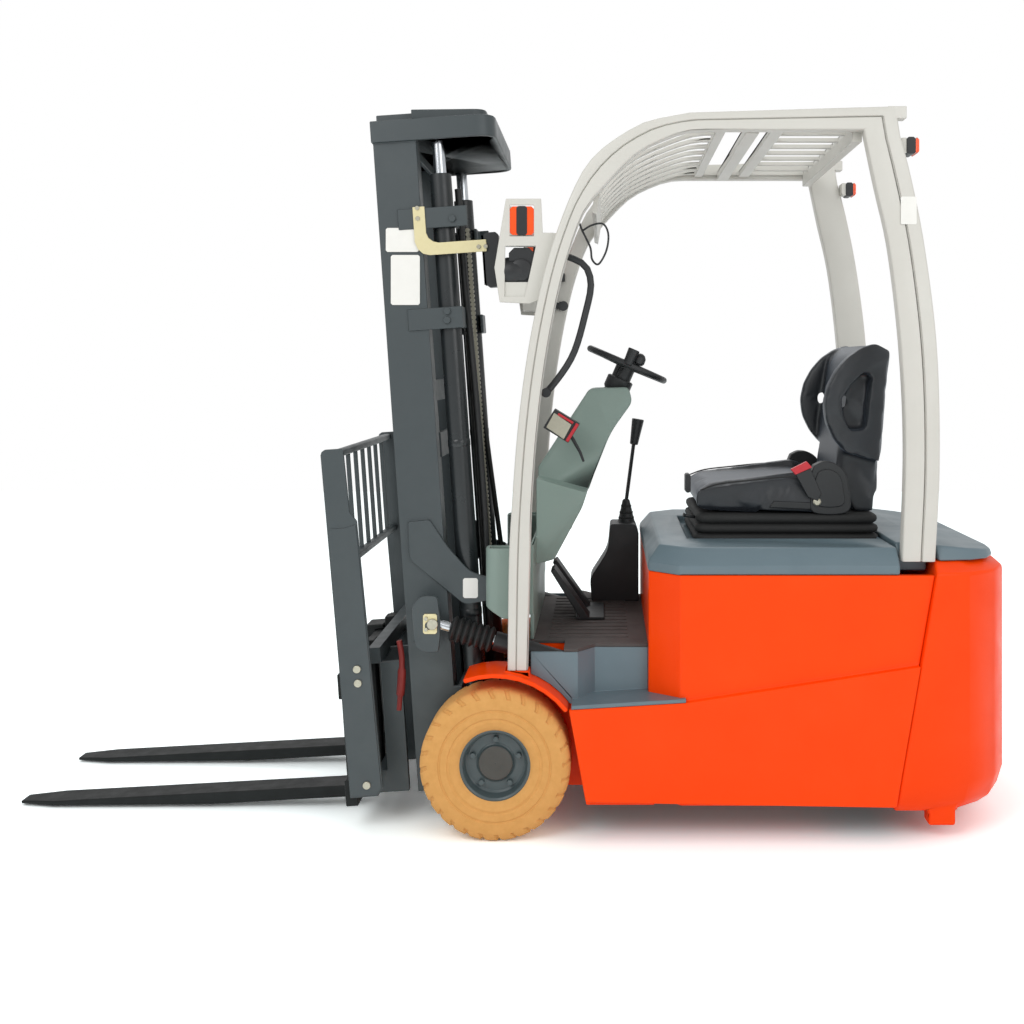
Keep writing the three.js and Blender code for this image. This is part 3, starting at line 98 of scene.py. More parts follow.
# What each finish is: colours, size in millimetres of its mottling and its grain, and how it shines.
finishes = {
    # Baked powder coat: even colour, a faint orange-peel skin, soft satin shine.
    "orangePowderCoat": {"colour": "#FF4A04", "second": "#F94300", "gloss": 0.16, "mottle": 160, "rough": 0.33,
                         "grain": 3, "depth": 0.05},
    "blueGreyPowderCoat": {"colour": "#667880", "second": "#5C6E76", "mottle": 120, "rough": 0.36, "grain": 3,
                           "depth": 0.06},
    "warmGreyPowderCoat": {"colour": "#D0CFC8", "second": "#C8C7BF", "mottle": 140, "rough": 0.4, "grain": 3,
                           "depth": 0.05},
    # Brushed-on chassis enamel: a touch uneven, with drips smoothed out.
    "slateEnamel": {"colour": "#41494B", "second": "#384043", "mottle": 70, "rough": 0.42, "grain": 5, "depth": 0.1},
    "blackEnamel": {"colour": "#24292B", "second": "#1C2022", "mottle": 60, "rough": 0.3, "grain": 4, "depth": 0.06},
    # Forged steel, blackened: dark, scaly, polished where it slides under pallets.
    "forgedSteel": {"colour": "#1D2020", "second": "#131616", "gloss": 0.25, "mottle": 45, "rough": 0.5, "grain": 4,
                    "depth": 0.18, "metal": 0.2},
    "paintedCastIron": {"colour": "#FD4904", "second": "#F54100", "gloss": 0.16, "mottle": 110, "rough": 0.38,
                        "grain": 7, "depth": 0.16},
    # Non-marking tyre compound: tan, chalky, dusted along the tread.
    "tanRubber": {"colour": "#DEA65F", "second": "#C8934F", "mottle": 28, "rough": 0.82, "grain": 2, "depth": 0.16},
    "blackRubber": {"colour": "#191A1A", "second": "#232424", "mottle": 30, "rough": 0.78, "grain": 2, "depth": 0.16},
    "bellowsRubber": {"colour": "#1E1F1F", "second": "#282929", "mottle": 30, "rough": 0.42, "grain": 2, "depth": 0.1},
    "wheelEnamel": {"colour": "#4B5759", "second": "#414C4E", "mottle": 40, "rough": 0.36, "grain": 3, "depth": 0.08},
    "hubEnamel": {"colour": "#45443F", "second": "#3B3A36", "mottle": 30, "rough": 0.5, "grain": 3, "depth": 0.08},
    # Injection moulded ABS: fine leather grain from the mould.
    "greyAbs": {"colour": "#7F9189", "second": "#788A82", "mottle": 150, "rough": 0.5, "grain": 2.5, "depth": 0.12},
    "blackAbs": {"colour": "#16181A", "second": "#1D1F21", "mottle": 90, "rough": 0.48, "grain": 2.5, "depth": 0.12},
    "paleAbs": {"colour": "#A9ABA9", "second": "#9FA19F", "mottle": 60, "rough": 0.45, "grain": 2.5, "depth": 0.1},
    "redAbs": {"colour": "#C42A34", "second": "#B8242E", "mottle": 20, "rough": 0.35, "grain": 2, "depth": 0.05},
    "floorMatRubber": {"colour": "#4E4947", "second": "#433E3D", "mottle": 60, "rough": 0.8, "grain": 6, "depth": 0.35},
    # Chromed piston rod: ground round, mirror bright.
    "hardChrome": {"colour": "#C9CDD1", "second": "#BFC3C8", "mottle": 60, "rough": 0.16, "grain": 2, "depth": 0.02,
                   "metal": 1.0},
    "zincPlate": {"colour": "#B9B5A4", "second": "#A5A192", "mottle": 9, "rough": 0.34, "grain": 3, "depth": 0.06,
                  "metal": 0.85},
    "yellowZincPlate": {"colour": "#E2D9B0", "second": "#D3C898", "mottle": 22, "rough": 0.34, "grain": 3,
                        "depth": 0.06, "metal": 0.25},
    "copper": {"colour": "#B26A45", "second": "#9C5A38", "mottle": 10, "rough": 0.3, "grain": 2, "depth": 0.04,
               "metal": 0.9},
    "orangeAcrylic": {"colour": "#FF5A12", "second": "#F04A08", "mottle": 30, "rough": 0.14, "grain": 8, "depth": 0.03},
    "lampGlass": {"colour": "#3C4448", "second": "#2C3336", "mottle": 30, "rough": 0.08, "grain": 8, "depth": 0.02},
    "labelVinyl": {"colour": "#EDEDE8", "second": "#E4E4DE", "mottle": 40, "rough": 0.42, "grain": 6, "depth": 0.02},
    "redHose": {"colour": "#8E2A26", "second": "#7A231F", "mottle": 20, "rough": 0.55, "grain": 2, "depth": 0.1},
    "blackHose": {"colour": "#141516", "second": "#1C1D1E", "mottle": 20, "rough": 0.5, "grain": 2, "depth": 0.12},
}


def coatMaterial(name, look):
    material = bpy.data.materials.new(name)
    material.use_nodes = True
    tree = material.node_tree
    tree.nodes.clear()
    place = addNode(tree, "ShaderNodeTexCoord").outputs["Object"]
    mottle = addNode(tree, "ShaderNodeTexNoise", {"Scale": 1000 / look["mottle"], "Detail": 4.0, "Roughness": 0.6},
                     {"Vector": place})
    tint = addNode(tree, "ShaderNodeMix", {"data_type": "RGBA", 6: linear(look["colour"]), 7: linear(look["second"])},
                   {0: mottle.outputs["Fac"]})
    grain = addNode(tree, "ShaderNodeTexNoise", {"Scale": 1000 / look["grain"], "Detail": 2.0}, {"Vector": place})
    shine = addNode(tree, "ShaderNodeMapRange",
                    {"From Min": 0.3, "From Max": 0.7, "To Min": look["rough"] - 0.05, "To Max": look["rough"] + 0.07},
                    {"Value": mottle.outputs["Fac"]})
    bump = addNode(tree, "ShaderNodeBump", {"Strength": 0.6, "Distance": look["depth"] / 1000},
                   {"Height": grain.outputs["Fac"]})
    shader = addNode(tree, "ShaderNodeBsdfPrincipled",
                     {"Metallic": look.get("metal", 0.0), "Specular IOR Level": look.get("gloss", 0.5)},
                     {"Base Color": tint.outputs[2], "Roughness": shine.outputs[0], "Normal": bump.outputs[0]})
    addNode(tree, "ShaderNodeOutputMaterial", None, {"Surface": shader.outputs[0]})
    return material


materials = {name: coatMaterial(name, look) for name, look in finishes.items()}


# Expanded vinyl over foam: pebbled grain, near black with a faint cool sheen at grazing light.
vinyl = {"colour": "#1B1D1F", "second": "#24292F", "pebble": 3.2, "depth": 0.35, "rough": 0.44, "sheen": 0.3,
         "sheenTint": "#8C9CB0"}


def vinylMaterial():
    material = bpy.data.materials.new("grainedVinyl")
    material.use_nodes = True
    tree = material.node_tree
    tree.nodes.clear()
    place = addNode(tree, "ShaderNodeTexCoord").outputs["Object"]
    pebble = addNode(tree, "ShaderNodeTexVoronoi", {"feature": "DISTANCE_TO_EDGE", "Scale": 1000 / vinyl["pebble"]},
                     {"Vector": place})
    patch = addNode(tree, "ShaderNodeTexNoise", {"Scale": 9.0, "Detail": 3.0}, {"Vector": place})
    tint = addNode(tree, "ShaderNodeMix", {"data_type": "RGBA", 6: linear(vinyl["colour"]), 7: linear(vinyl["second"])},
                   {0: patch.outputs["Fac"]})
    bump = addNode(tree, "ShaderNodeBump", {"Strength": 0.5, "Distance": vinyl["depth"] / 1000},
                   {"Height": pebble.outputs["Distance"]})
    shader = addNode(tree, "ShaderNodeBsdfPrincipled",
                     {"Roughness": vinyl["rough"], "Sheen Weight": vinyl["sheen"],
                      "Sheen Tint": linear(vinyl["sheenTint"]), "Sheen Roughness": 0.4},
                     {"Base Color": tint.outputs[2], "Normal": bump.outputs[0]})
    addNode(tree, "ShaderNodeOutputMaterial", None, {"Surface": shader.outputs[0]})
    return material


materials["grainedVinyl"] = vinylMaterial()
print("materials made:", len(materials))


# Shape helpers
def smoothPath(points, steps=6):  # a curve through every point
    points = [Vector(p) for p in points]
    ends = [points[0] * 2 - points[1]] + points + [points[-1] * 2 - points[-2]]
    path = []
    for i in range(1, len(ends) - 2):
        a, b, c, d = ends[i - 1:i + 3]
        for k in range(steps):
            t = k / steps
            bend, twist = 2 * a - 5 * b + 4 * c - d, 3 * b - a - 3 * c + d
            path.append(0.5 * (2 * b + (c - a) * t + bend * t * t + twist * t ** 3))
    return path + [points[-1]]


def addPrism(work, corners, near, far, finish=0):  # corners are (x, z), from y near to y far
    loops = [[work.verts.new(at(x, y, z)) for x, z in corners] for y in (near, far)]
    made = [work.faces.new(loops[0]), work.faces.new(loops[1][::-1])]
    for i in range(len(corners)):
        j = (i + 1) % len(corners)
        made.append(work.faces.new((loops[0][i], loops[1][i], loops[1][j], loops[0][j])))
    for face in made:
        face.material_index = finish


def addBox(work, low, high, finish=0):
    addPrism(work, [(low[0], low[2]), (high[0], low[2]), (high[0], high[2]), (low[0], high[2])], low[1], high[1],
             finish)


def addRings(work, rings, finish=0, closed=True):  # skins rings of equal length, then caps the two ends
    rows = [[work.verts.new(p) for p in ring] for ring in rings]
    count = len(rows[0])
    for a, b in zip(rows, rows[1:]):
        for i in range(count):
            j = (i + 1) % count
            work.faces.new((a[i], a[j], b[j], b[i])).material_index = finish
    if closed:
        work.faces.new(rows[0][::-1]).material_index = finish
        work.faces.new(rows[-1]).material_index = finish


def addTube(work, points, radius, finish=0, around=12):  # points in millimetres; radius may vary along it
    path = [at(*p) for p in points]
    radii = radius if isinstance(radius, list) else [radius] * len(path)
    across = None
    rings = []
    for i, p in enumerate(path):
        ahead = (path[min(i + 1, len(path) - 1)] - path[max(i - 1, 0)]).normalized()
        if across is None:
            across = ahead.cross(Vector((0, 0, 1))) if abs(ahead.z) < 0.9 else ahead.cross(Vector((1, 0, 0)))
        across = (across - ahead * across.dot(ahead)).normalized()
        up = ahead.cross(across)
        turns = [2 * math.pi * k / around for k in range(around)]
        rings.append([p + (across * math.cos(turn) + up * math.sin(turn)) * radii[i] / 1000 for turn in turns])
    addRings(work, rings, finish)


# Profile is (radius, height outwards), turned about Y
def addLathe(work, profile, centre, way, finish=0, around=64, dent=None):
    rings = []
    for k in range(around):
        angle = 2 * math.pi * k / around
        ring = []
        for radius, height in profile:
            r, h, twist = dent(radius, height, angle) if dent else (radius, height, 0)
            a = angle + twist
            ring.append(at(centre[0] + r * math.cos(a), centre[1] + way * h, centre[2] + r * math.sin(a)))
        rings.append(ring)
    rows = [[work.verts.new(p) for p in ring] for ring in rings]
    for k in range(around):
        a, b = rows[k], rows[(k + 1) % around]
        for i in range(len(profile) - 1):
            work.faces.new((a[i], a[i + 1], b[i + 1], b[i])).material_index = finish
        if len(profile) > 2 and profile[0] != profile[-1]:
            work.faces.new((a[-1], a[0], b[0], b[-1])).material_index = finish


def finished(work, name, finishNames, body, bevel=0, segments=2, smooth=35):
    bmesh.ops.remove_doubles(work, verts=work.verts, dist=1e-5)
    bmesh.ops.recalc_face_normals(work, faces=work.faces)
    mesh = bpy.data.meshes.new(name)
    work.to_mesh(mesh)
    work.free()
    piece = bpy.data.objects.new(name, mesh)
    scene.collection.objects.link(piece)
    return dressed(piece, finishNames, body, bevel, segments, smooth)


def dressed(piece, finishNames, body, bevel, segments=2, smooth=35):
    for name in [finishNames] if isinstance(finishNames, str) else finishNames:
        piece.data.materials.append(materials[name])
    piece.data.shade_smooth()
    piece.data.set_sharp_from_angle(angle=math.radians(smooth))
    if bevel:
        rounding = piece.modifiers.new("rounding", "BEVEL")
        rounding.width = bevel / 1000
        rounding.segments = segments
        rounding.limit_method = "ANGLE"
        rounding.angle_limit = math.radians(30)
        rounding.use_clamp_overlap = False
        rounding.harden_normals = True
    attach(piece, body)
    return piece


# Pieces that keep their solid's shape, with its edges rounded over
# Faces that bend or have holes, where joined ones would fold
asTriangles = {"front_cowl", "hood", "roof_grille", "lift_carriage", "floor_plate"}


def softened(node, finishNames, bevel=3, segments=2, zones=()):
    work = bmesh.new()
    work.from_mesh(nodes[node].data)
    bmesh.ops.remove_doubles(work, verts=work.verts, dist=2e-5)
    if node not in asTriangles:
        bmesh.ops.dissolve_limit(work, angle_limit=math.radians(0.5), verts=work.verts, edges=work.edges)
    mesh = bpy.data.meshes.new(node + "_finished")
    for face in work.faces:
        face.material_index = 0
        spot = face.calc_center_median() * 1000
        spot.x -= axleX * 1000
        for index, low, high in zones:
            if all(low[i] <= spot[i] <= high[i] for i in range(3)):
                face.material_index = index
    work.to_mesh(mesh)
    work.free()
    mesh.materials.clear()
    piece = bpy.data.objects.new(node + "_finished", mesh)
    scene.collection.objects.link(piece)
    dressed(piece, finishNames, bodyOfNode[node], bevel, segments)
    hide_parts(node)
    return piece


roundings = {
    "orangePowderCoat": {"main_frame": 4, "body_shell": 5, "fender_left": 5, "fender_right": 5},
    "paintedCastIron": {"counterweight": 8},
    "blueGreyPowderCoat": {"hood": 7, "rear_cover": 7, "step_left": 2, "step_right": 2},
    "warmGreyPowderCoat": {"roof_grille": 2},
    "slateEnamel": {
        "outer_mast": 3, "middle_mast": 3, "inner_mast": 3, "lift_carriage": 1, "drive_axle": 3,
        "steer_knuckle": 3, "battery": 6,
    },
    "blackEnamel": {"lift_barrel_left": 2, "lift_barrel_right": 2, "free_lift_barrel": 2},
    "forgedSteel": {"fork_left": 4, "fork_right": 4, "sideshift_frame": 3},
    "hardChrome": {"lift_rod_left": 1, "lift_rod_right": 1, "free_lift_rod": 1, "tilt_rod_left": 1,
                   "tilt_rod_right": 1},
    "blackAbs": {"steering_wheel": 3, "pedals": 3, "grab_handle": 2, "tilt_barrel_left": 2, "tilt_barrel_right": 2},
    "greyAbs": {"front_cowl": 4},
    "floorMatRubber": {"floor_plate": 2},
    "blackRubber": {"rear_tyre_left": 3, "rear_tyre_right": 3},
    "wheelEnamel": {"rear_rim_left": 2, "rear_rim_right": 2},
}
for finish, widths in roundings.items():
    for node, width in widths.items():
        softened(node, finish, width)
for word, side in sides:
    softened("lamp_cluster_" + word, ["warmGreyPowderCoat", "blackAbs"], 2, 2,
             [(1, (0, min(side * 380, side * 451.6), 1630), (130, max(side * 380, side * 451.6), 1930))])
softened("lever_console", ["blackAbs", "paleAbs"], 3, 2, [(1, (436, 200, 1132), (480, 420, 1250))])
print("solids rounded over")


# Wheels
frontWheel = {"radius": 228.5, "out": 450}
tyreSizes = {"notches": 28, "steps": 12, "notchShare": 0.2, "notchDepth": 6, "notchFrom": 210, "slant": 0.003}
frontTyreProfile = [
    (106, 66), (112, 72), (120, 76), (134, 78), (138, 76), (142, 76), (146, 79), (164, 79.5), (166, 77.5), (170, 77.5),
    (172, 80), (186, 80), (199, 79), (204, 78), (211, 76), (219, 72), (225, 66), (228, 58), (228.4, 40), (228.4, 0),
]
rimProfile = [
    (0.5, 47), (49, 47), (52, 45), (54, 37), (60, 33), (86, 33), (92, 38), (95, 56), (98, 65), (103, 69), (108, 67),
    (109, 60), (106, 55), (104.6, 50), (104.6, -60), (100, -64), (60, -64), (60, -30), (0.5, -30),
]


def tyreDent(radius, height, angle):  # the short slanted cuts round each shoulder
    if radius < tyreSizes["notchFrom"] or abs(height) < 50:
        return radius, height, 0
    turn = (angle * tyreSizes["notches"] / (2 * math.pi)) % 1
    twist = (radius - tyreSizes["notchFrom"]) * tyreSizes["slant"] * (1 if height > 0 else -1)
    if turn > tyreSizes["notchShare"]:
        return radius, height, twist
    return radius - tyreSizes["notchDepth"] * 0.7, height - math.copysign(tyreSizes["notchDepth"] * 0.6, height), twist


def repeated(name, points, way, look, finish, body):  # one solid set on every point, facing one way
    tree = bpy.data.node_groups.new(name, "GeometryNodeTree")
    tree.interface.new_socket("Geometry", in_out="OUTPUT", socket_type="NodeSocketGeometry")
    tree.interface.new_socket("Geometry", in_out="INPUT", socket_type="NodeSocketGeometry")
    radius = tree.interface.new_socket("Radius", in_out="INPUT", socket_type="NodeSocketFloat")
    height = tree.interface.new_socket("Height", in_out="INPUT", socket_type="NodeSocketFloat")
    corners = tree.interface.new_socket("Corners", in_out="INPUT", socket_type="NodeSocketInt")
    facing = tree.interface.new_socket("Facing", in_out="INPUT", socket_type="NodeSocketVector")
    start = tree.nodes.new("NodeGroupInput")
    unit = addNode(tree, "GeometryNodeMeshCylinder", None,
                   {"Vertices": start.outputs["Corners"], "Radius": start.outputs["Radius"],
                    "Depth": start.outputs["Height"]})
    turned = addNode(tree, "FunctionNodeAlignRotationToVector", {"axis": "Z"}, {"Vector": start.outputs["Facing"]})
    placed = addNode(tree, "GeometryNodeInstanceOnPoints", None,
                     {"Points": start.outputs["Geometry"], "Instance": unit.outputs["Mesh"],
                      "Rotation": turned.outputs[0]})
    real = addNode(tree, "GeometryNodeRealizeInstances", None, {0: placed.outputs[0]})
    coated = addNode(tree, "GeometryNodeSetMaterial", {"Material": materials[finish]}, {"Geometry": real.outputs[0]})
    end = tree.nodes.new("NodeGroupOutput")
    tree.links.new(coated.outputs[0], end.inputs[0])
    cloud = bpy.data.meshes.new(name + "_points")
    cloud.from_pydata([tuple(p) for p in points], [], [])
    holder = bpy.data.objects.new(name + "_points", cloud)
    scene.collection.objects.link(holder)
    maker = holder.modifiers.new("repeat", "NODES")
    maker.node_group = tree
    maker[radius.identifier] = look["radius"] / 1000
    maker[height.identifier] = look["height"] / 1000
    maker[corners.identifier] = look["corners"]
    maker[facing.identifier] = way
    bpy.context.view_layer.update()
    mesh = bpy.data.meshes.new_from_object(holder.evaluated_get(bpy.context.evaluated_depsgraph_get()))
    bpy.data.objects.remove(holder)
    mesh.name = name
    piece = bpy.data.objects.new(name, mesh)
    scene.collection.objects.link(piece)
    mesh.shade_smooth()
    mesh.set_sharp_from_angle(angle=math.radians(35))
    if look.get("bevel"):
        rounding = piece.modifiers.new("rounding", "BEVEL")
        rounding.width = look["bevel"] / 1000
        rounding.segments = 2
        rounding.limit_method = "ANGLE"
    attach(piece, body)
    return piece


wheelNut = {"radius": 9, "height": 14, "corners": 6, "count": 5, "circle": 73, "from": 33, "bevel": 1}
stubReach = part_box("drive_axle")[1].y * 1000 - frontWheel["out"]
for word, side in sides:
    body = "front_wheel_" + word
    centre = (0, side * frontWheel["out"], frontWheel["radius"])
    around = tyreSizes["notches"] * tyreSizes["steps"]
    inner = [(r, -h) for r, h in reversed(frontTyreProfile[:-1])]
    work = bmesh.new()
    addLathe(work, frontTyreProfile + inner, centre, side, 0, around, tyreDent)
    tyre = finished(work, "front_tyre_moulded_" + word, "tanRubber", body, 0, 2, 32)
    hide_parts("front_tyre_" + word)
    work = bmesh.new()
    lift = max(0, stubReach + 2 - rimProfile[1][1])  # the hub's face stands clear of the axle stub
    addLathe(work, [(r, h + lift if r < 53 and h > 40 else h) for r, h in rimProfile], centre, side, 0, 96)
    for face in work.faces:
        middle = face.calc_center_median() - at(*centre)
        if math.hypot(middle.x, middle.z) < 0.0505 and middle.y * side > 0.04:
            face.material_index = 1
    rim = finished(work, "front_wheel_disc_" + word, ["wheelEnamel", "hubEnamel"], body, 1, 2, 25)
    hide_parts("front_rim_" + word)
    spots = [at(wheelNut["circle"] * math.cos(math.radians(90 + 72 * k)), centre[1] + side * (wheelNut["from"] + 6),
                centre[2] + wheelNut["circle"] * math.sin(math.radians(90 + 72 * k))) for k in range(wheelNut["count"])]
    repeated("wheel_nuts_" + word, spots, (0, side, 0), wheelNut, "wheelEnamel", body)
print("wheels made")


# Overhead guard: pillars, rails and legs as one folded section
guardHalf = 495
guardOuter = {
    "brow": [(36, 508.5), (40, 842), (50, 1026), (68, 1254), (98, 1481), (143, 1700), (192, 1860), (256, 2011),
             (316, 2087), (401, 2147), (468, 2178), (588, 2202)],
    "roof": [(588, 2202), (900, 2211.5), (1214, 2221)],
    "leg": [(1216, 2175), (1260, 2010), (1304, 1784), (1340, 1481), (1348, 1136), (1334, 838.6)],
}
guardInner = {
    "brow": [(97, 508.5), (104, 842), (110, 1026), (127, 1254), (156, 1481), (200, 1700), (250, 1860), (290, 1932),
             (360, 2012), (440, 2086), (560, 2140), (640, 2149)],
    "roof": [(640, 2149), (880, 2149), (1118, 2149)],
    "leg": [(1118, 2149), (1152, 1985), (1196, 1784), (1231, 1481), (1244, 1180), (1234, 838.6)],
}
# across from the outer edge (0) to the inner (1), and how far the skin lies under the widest face
guardSection = [
    (0.0, 5), (0.03, 1.5), (0.08, 0), (0.38, 0), (0.405, 2), (0.41, 7), (0.445, 7), (0.45, 3), (0.5, 2.5), (0.93, 2.5),
    (0.98, 5), (1.0, 9), (1.0, 42), (0.97, 47), (0.9, 49.5), (0.1, 49.5), (0.03, 48), (0.0, 44),
]


def evenly(points, count):  # the same curve in steps of one length
    path = smoothPath([(x, 0, z) for x, z in points], 10)
    marks = [0]
    for a, b in zip(path, path[1:]):
        marks.append(marks[-1] + (b - a).length)
    out = []
    for k in range(count + 1):
        goal = marks[-1] * k / count
        i = max(j for j in range(len(marks) - 1) if marks[j] <= goal + 1e-9)
        share = (goal - marks[i]) / max(marks[i + 1] - marks[i], 1e-9)
        out.append(path[i].lerp(path[i + 1], share))
    return out


for word, side in sides:
    outer, inner = [], []
    for stretch, count in (("brow", 40), ("roof", 6), ("leg", 30)):
        outer += evenly(guardOuter[stretch], count)[0 if stretch == "brow" else 1:]
        inner += evenly(guardInner[stretch], count)[0 if stretch == "brow" else 1:]
    work = bmesh.new()
    rings = []
    for a, b in zip(outer, inner):
        spots = [a.lerp(b, t) for t, _ in guardSection]
        rings.append([at(p.x, side * (guardHalf - depth), p.z) for p, (_, depth) in zip(spots, guardSection)])
    addRings(work, rings)
    addBox(work, (1190, min(side * 447, side * 494), 2184), (1247, max(side * 447, side * 494), 2221))
    guard = finished(work, "guard_frame_" + word, "warmGreyPowderCoat", "chassis", 2, 2, 40)
    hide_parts("guard_side_" + word)
print("guard made")


# Seat: foam under vinyl, swollen by cloth, then its seams
seatLook = {"voxel": 0.0075, "tuck": 0.004, "pressure": 4.0, "cap": 0.012, "frames": 20}


def upholstered(node, name, heldBelow):
    work = bmesh.new()
    work.from_mesh(nodes[node].data)
    bmesh.ops.remove_doubles(work, verts=work.verts, dist=2e-5)
    mesh = bpy.data.meshes.new(name)
    work.to_mesh(mesh)
    work.free()
    mesh.materials.clear()
    rough = bpy.data.objects.new(name + "_rough", mesh)
    scene.collection.objects.link(rough)
    skin = rough.modifiers.new("skin", "REMESH")
    skin.mode = "VOXEL"
    skin.voxel_size = seatLook["voxel"]
    settle = rough.modifiers.new("settle", "SMOOTH")
    settle.factor = 0.5
    settle.iterations = 10
    bpy.context.view_layer.update()
    pad = bpy.data.meshes.new_from_object(rough.evaluated_get(bpy.context.evaluated_depsgraph_get()))
    bpy.data.objects.remove(rough)
    for vertex, normal in zip(pad.vertices, [v.normal.copy() for v in pad.vertices]):
        vertex.co -= normal * seatLook["tuck"]
    rest = [v.co.copy() for v in pad.vertices]
    piece = bpy.data.objects.new(name, pad)
    scene.collection.objects.link(piece)
    held = piece.vertex_groups.new(name="held")
    held.add([i for i, p in enumerate(rest) if p.z < heldBelow], 1.0, "ADD")
    cloth = piece.modifiers.new("cloth", "CLOTH")
    cloth.settings.vertex_group_mass = "held"
    cloth.settings.use_pressure = True
    cloth.settings.uniform_pressure_force = seatLook["pressure"]
    cloth.settings.effector_weights.gravity = 0
    cloth.settings.quality = 6
    cloth.settings.tension_stiffness = 25
    cloth.settings.compression_stiffness = 25
    cloth.point_cache.frame_start = 1
    cloth.point_cache.frame_end = seatLook["frames"]
    for step in range(1, seatLook["frames"] + 1):
        scene.frame_set(step)
    moved = piece.evaluated_get(bpy.context.evaluated_depsgraph_get()).to_mesh()
    places = [v.co.copy() for v in moved.vertices]
    piece.modifiers.remove(cloth)
    piece.vertex_groups.clear()
    for vertex, start, goal in zip(pad.vertices, rest, places):
        shift = goal - start
        if shift.length > seatLook["cap"]:
            shift = shift.normalized() * seatLook["cap"]
        vertex.co = start + shift
    scene.frame_set(1)
    pad.shade_smooth()
    pad.materials.append(materials["grainedVinyl"])
    finer = piece.modifiers.new("finer", "SUBSURF")
    finer.levels = finer.render_levels = 1
    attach(piece, "hood_and_seat")
    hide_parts(node)
    return piece


upholstered("seat_cushion", "cushion_pad", 0.965)
upholstered("seat_back", "backrest_pad", 1.0)
print("seat upholstered")


# Mast dress: lamp on its strap, blank plates, bolts, hoses, tilt pins
def leanForward(work):  # from the upright mast to its rest, four degrees forward
    c, s = math.cos(math.radians(4)), math.sin(math.radians(4))
    axleZ = frontWheel["radius"] / 1000
    for v in work.verts:
        x, z = v.co.x - axleX, v.co.z - axleZ
        v.co.x, v.co.z = axleX + x * c - z * s, axleZ + x * s + z * c


def roundedBar(work, low, high, finish=0, cut=6):  # a box with its four long edges cut back
    x0, y0, z0, x1, y1, z1 = *low, *high
    addPrism(work, [(x0 + cut, z0), (x1 - cut, z0), (x1, z0 + cut), (x1, z1 - cut), (x1 - cut, z1), (x0 + cut, z1),
                    (x0, z1 - cut),
                    (x0, z0 + cut)], y0, y1, finish)


work = bmesh.new()
strap = [(-156, 1948), (-118, 1948), (-118, 1864), (-112, 1848), (-98, 1836), (-81, 1831), (69, 1831), (69, 1793),
         (-111, 1793), (-132, 1799), (-148, 1815), (-156, 1838)]
addPrism(work, strap, -357.3, -352.3, 0)
roundedBar(work, (60, -351.5, 1680), (107, -302.3, 1853), 1, 8)
roundedBar(work, (57, -347, 1690), (62, -307, 1843), 2, 4)
leanForward(work)
mastLamp = finished(work, "mast_lamp_body", ["yellowZincPlate", "blackAbs", "lampGlass"], "mast", 2, 2,
                    35)
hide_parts("mast_lamp")

blanks = {  # place in millimetres at rest, finish
    "mast_plate_upper": ((-360.6, -348.5, 1792.5), (-256.3, -345.2, 1868.4), "labelVinyl"),
    "mast_plate_lower": ((-344.8, -348, 1625), (-253.1, -345.2, 1783), "labelVinyl"),
    "gusset_label": ((-115.8, -357.2, 701), (-68.5, -355.8, 764), "labelVinyl"),
    "tilt_keeper": ((-228.6, -441, 607.5), (-185.5, -436.3, 669), "yellowZincPlate"),
}
for name, (low, high, finish) in blanks.items():
    work = bmesh.new()
    roundedBar(work, low, high, 0, 5)
    finished(work, name, finish, "mast", 0.6, 2)

bolt = {"radius": 12, "height": 12, "corners": 6, "bevel": 1}
screw = {"radius": 6.5, "height": 7, "corners": 6, "bevel": 0.6}
roundHead = {"radius": 7, "height": 5, "corners": 20, "bevel": 1.2}
boltRows = {  # body, slot, look, finish, which way they face, places
    "clamp_bolts": ("mast", "mast_paint", bolt, "slateEnamel", (0, -1, 0),
                    [(-166, -353, 1605.5), (-166, -353, 1577), (-150, -353, 1898)]),
    "strap_screws": ("mast", "black_plastic", roundHead, "zincPlate", (0, -1, 0),
                     [(-260, -359, 1930), (-258, -359, 1897), (-66, -359, 1808), (-44, -359, 1809)]),
    "keeper_screws": ("mast", "mast_paint", screw, "zincPlate", (0, -1, 0), [(-219, -443, 622), (-219, -443, 655)]),
    "pin_head": ("mast", "mast_paint", {"radius": 17, "height": 16, "corners": 28, "bevel": 2}, "zincPlate", (0, -1, 0),
                 [(-199, -441, 638)]),
}
for name, (body, slot, look, finish, way, spots) in boltRows.items():
    repeated(name, [at(*p) for p in spots], way, look, finish, body)

mastHoses = [  # fixed hoses on the outer mast
    ([(-20, -258, 2010), (-18, -258, 1700), (-8, -258, 1300), (-8, -258, 900), (-18, -256, 640), (-18, -240, 560)], 11,
     "blackHose"),
    ([(-26, -214, 2005), (-26, -214, 1650), (-24, -214, 1250), (-24, -214, 880), (-26, -214, 640), (-26, -210, 560)],
     10, "blackHose"),
    ([(-70, 262, 2000), (-58, 262, 1600), (-40, 262, 1200), (-12, 262, 760), (0, 256, 560)], 9, "blackHose"),
]
for index, (points, radius, finish) in enumerate(mastHoses):
    work = bmesh.new()
    addTube(work, smoothPath(points, 8), radius, 0, 14)
    leanForward(work)
    finished(work, "mast_hose_" + str(index), finish, "mast")

liftBarrel = {"x": -68, "out": 300, "bands": ((1180, 36), (640, 36), (1905, 39)), "ring": (1935, 1941, 27)}
for word, side in sides:
    spot = (liftBarrel["x"], side * liftBarrel["out"])
    work = bmesh.new()
    for z, r in liftBarrel["bands"]:
        addTube(work, [(*spot, z + up) for up in (0, 4, 24, 28)], [r - 3, r, r, r - 3], 0, 32)
    addTube(work, [(*spot, z) for z in liftBarrel["ring"][:2]], liftBarrel["ring"][2], 1, 32)
    leanForward(work)
    finished(work, "lift_barrel_bands_" + word, ["blackEnamel", "copper"], "mast", 0, 2, 50)

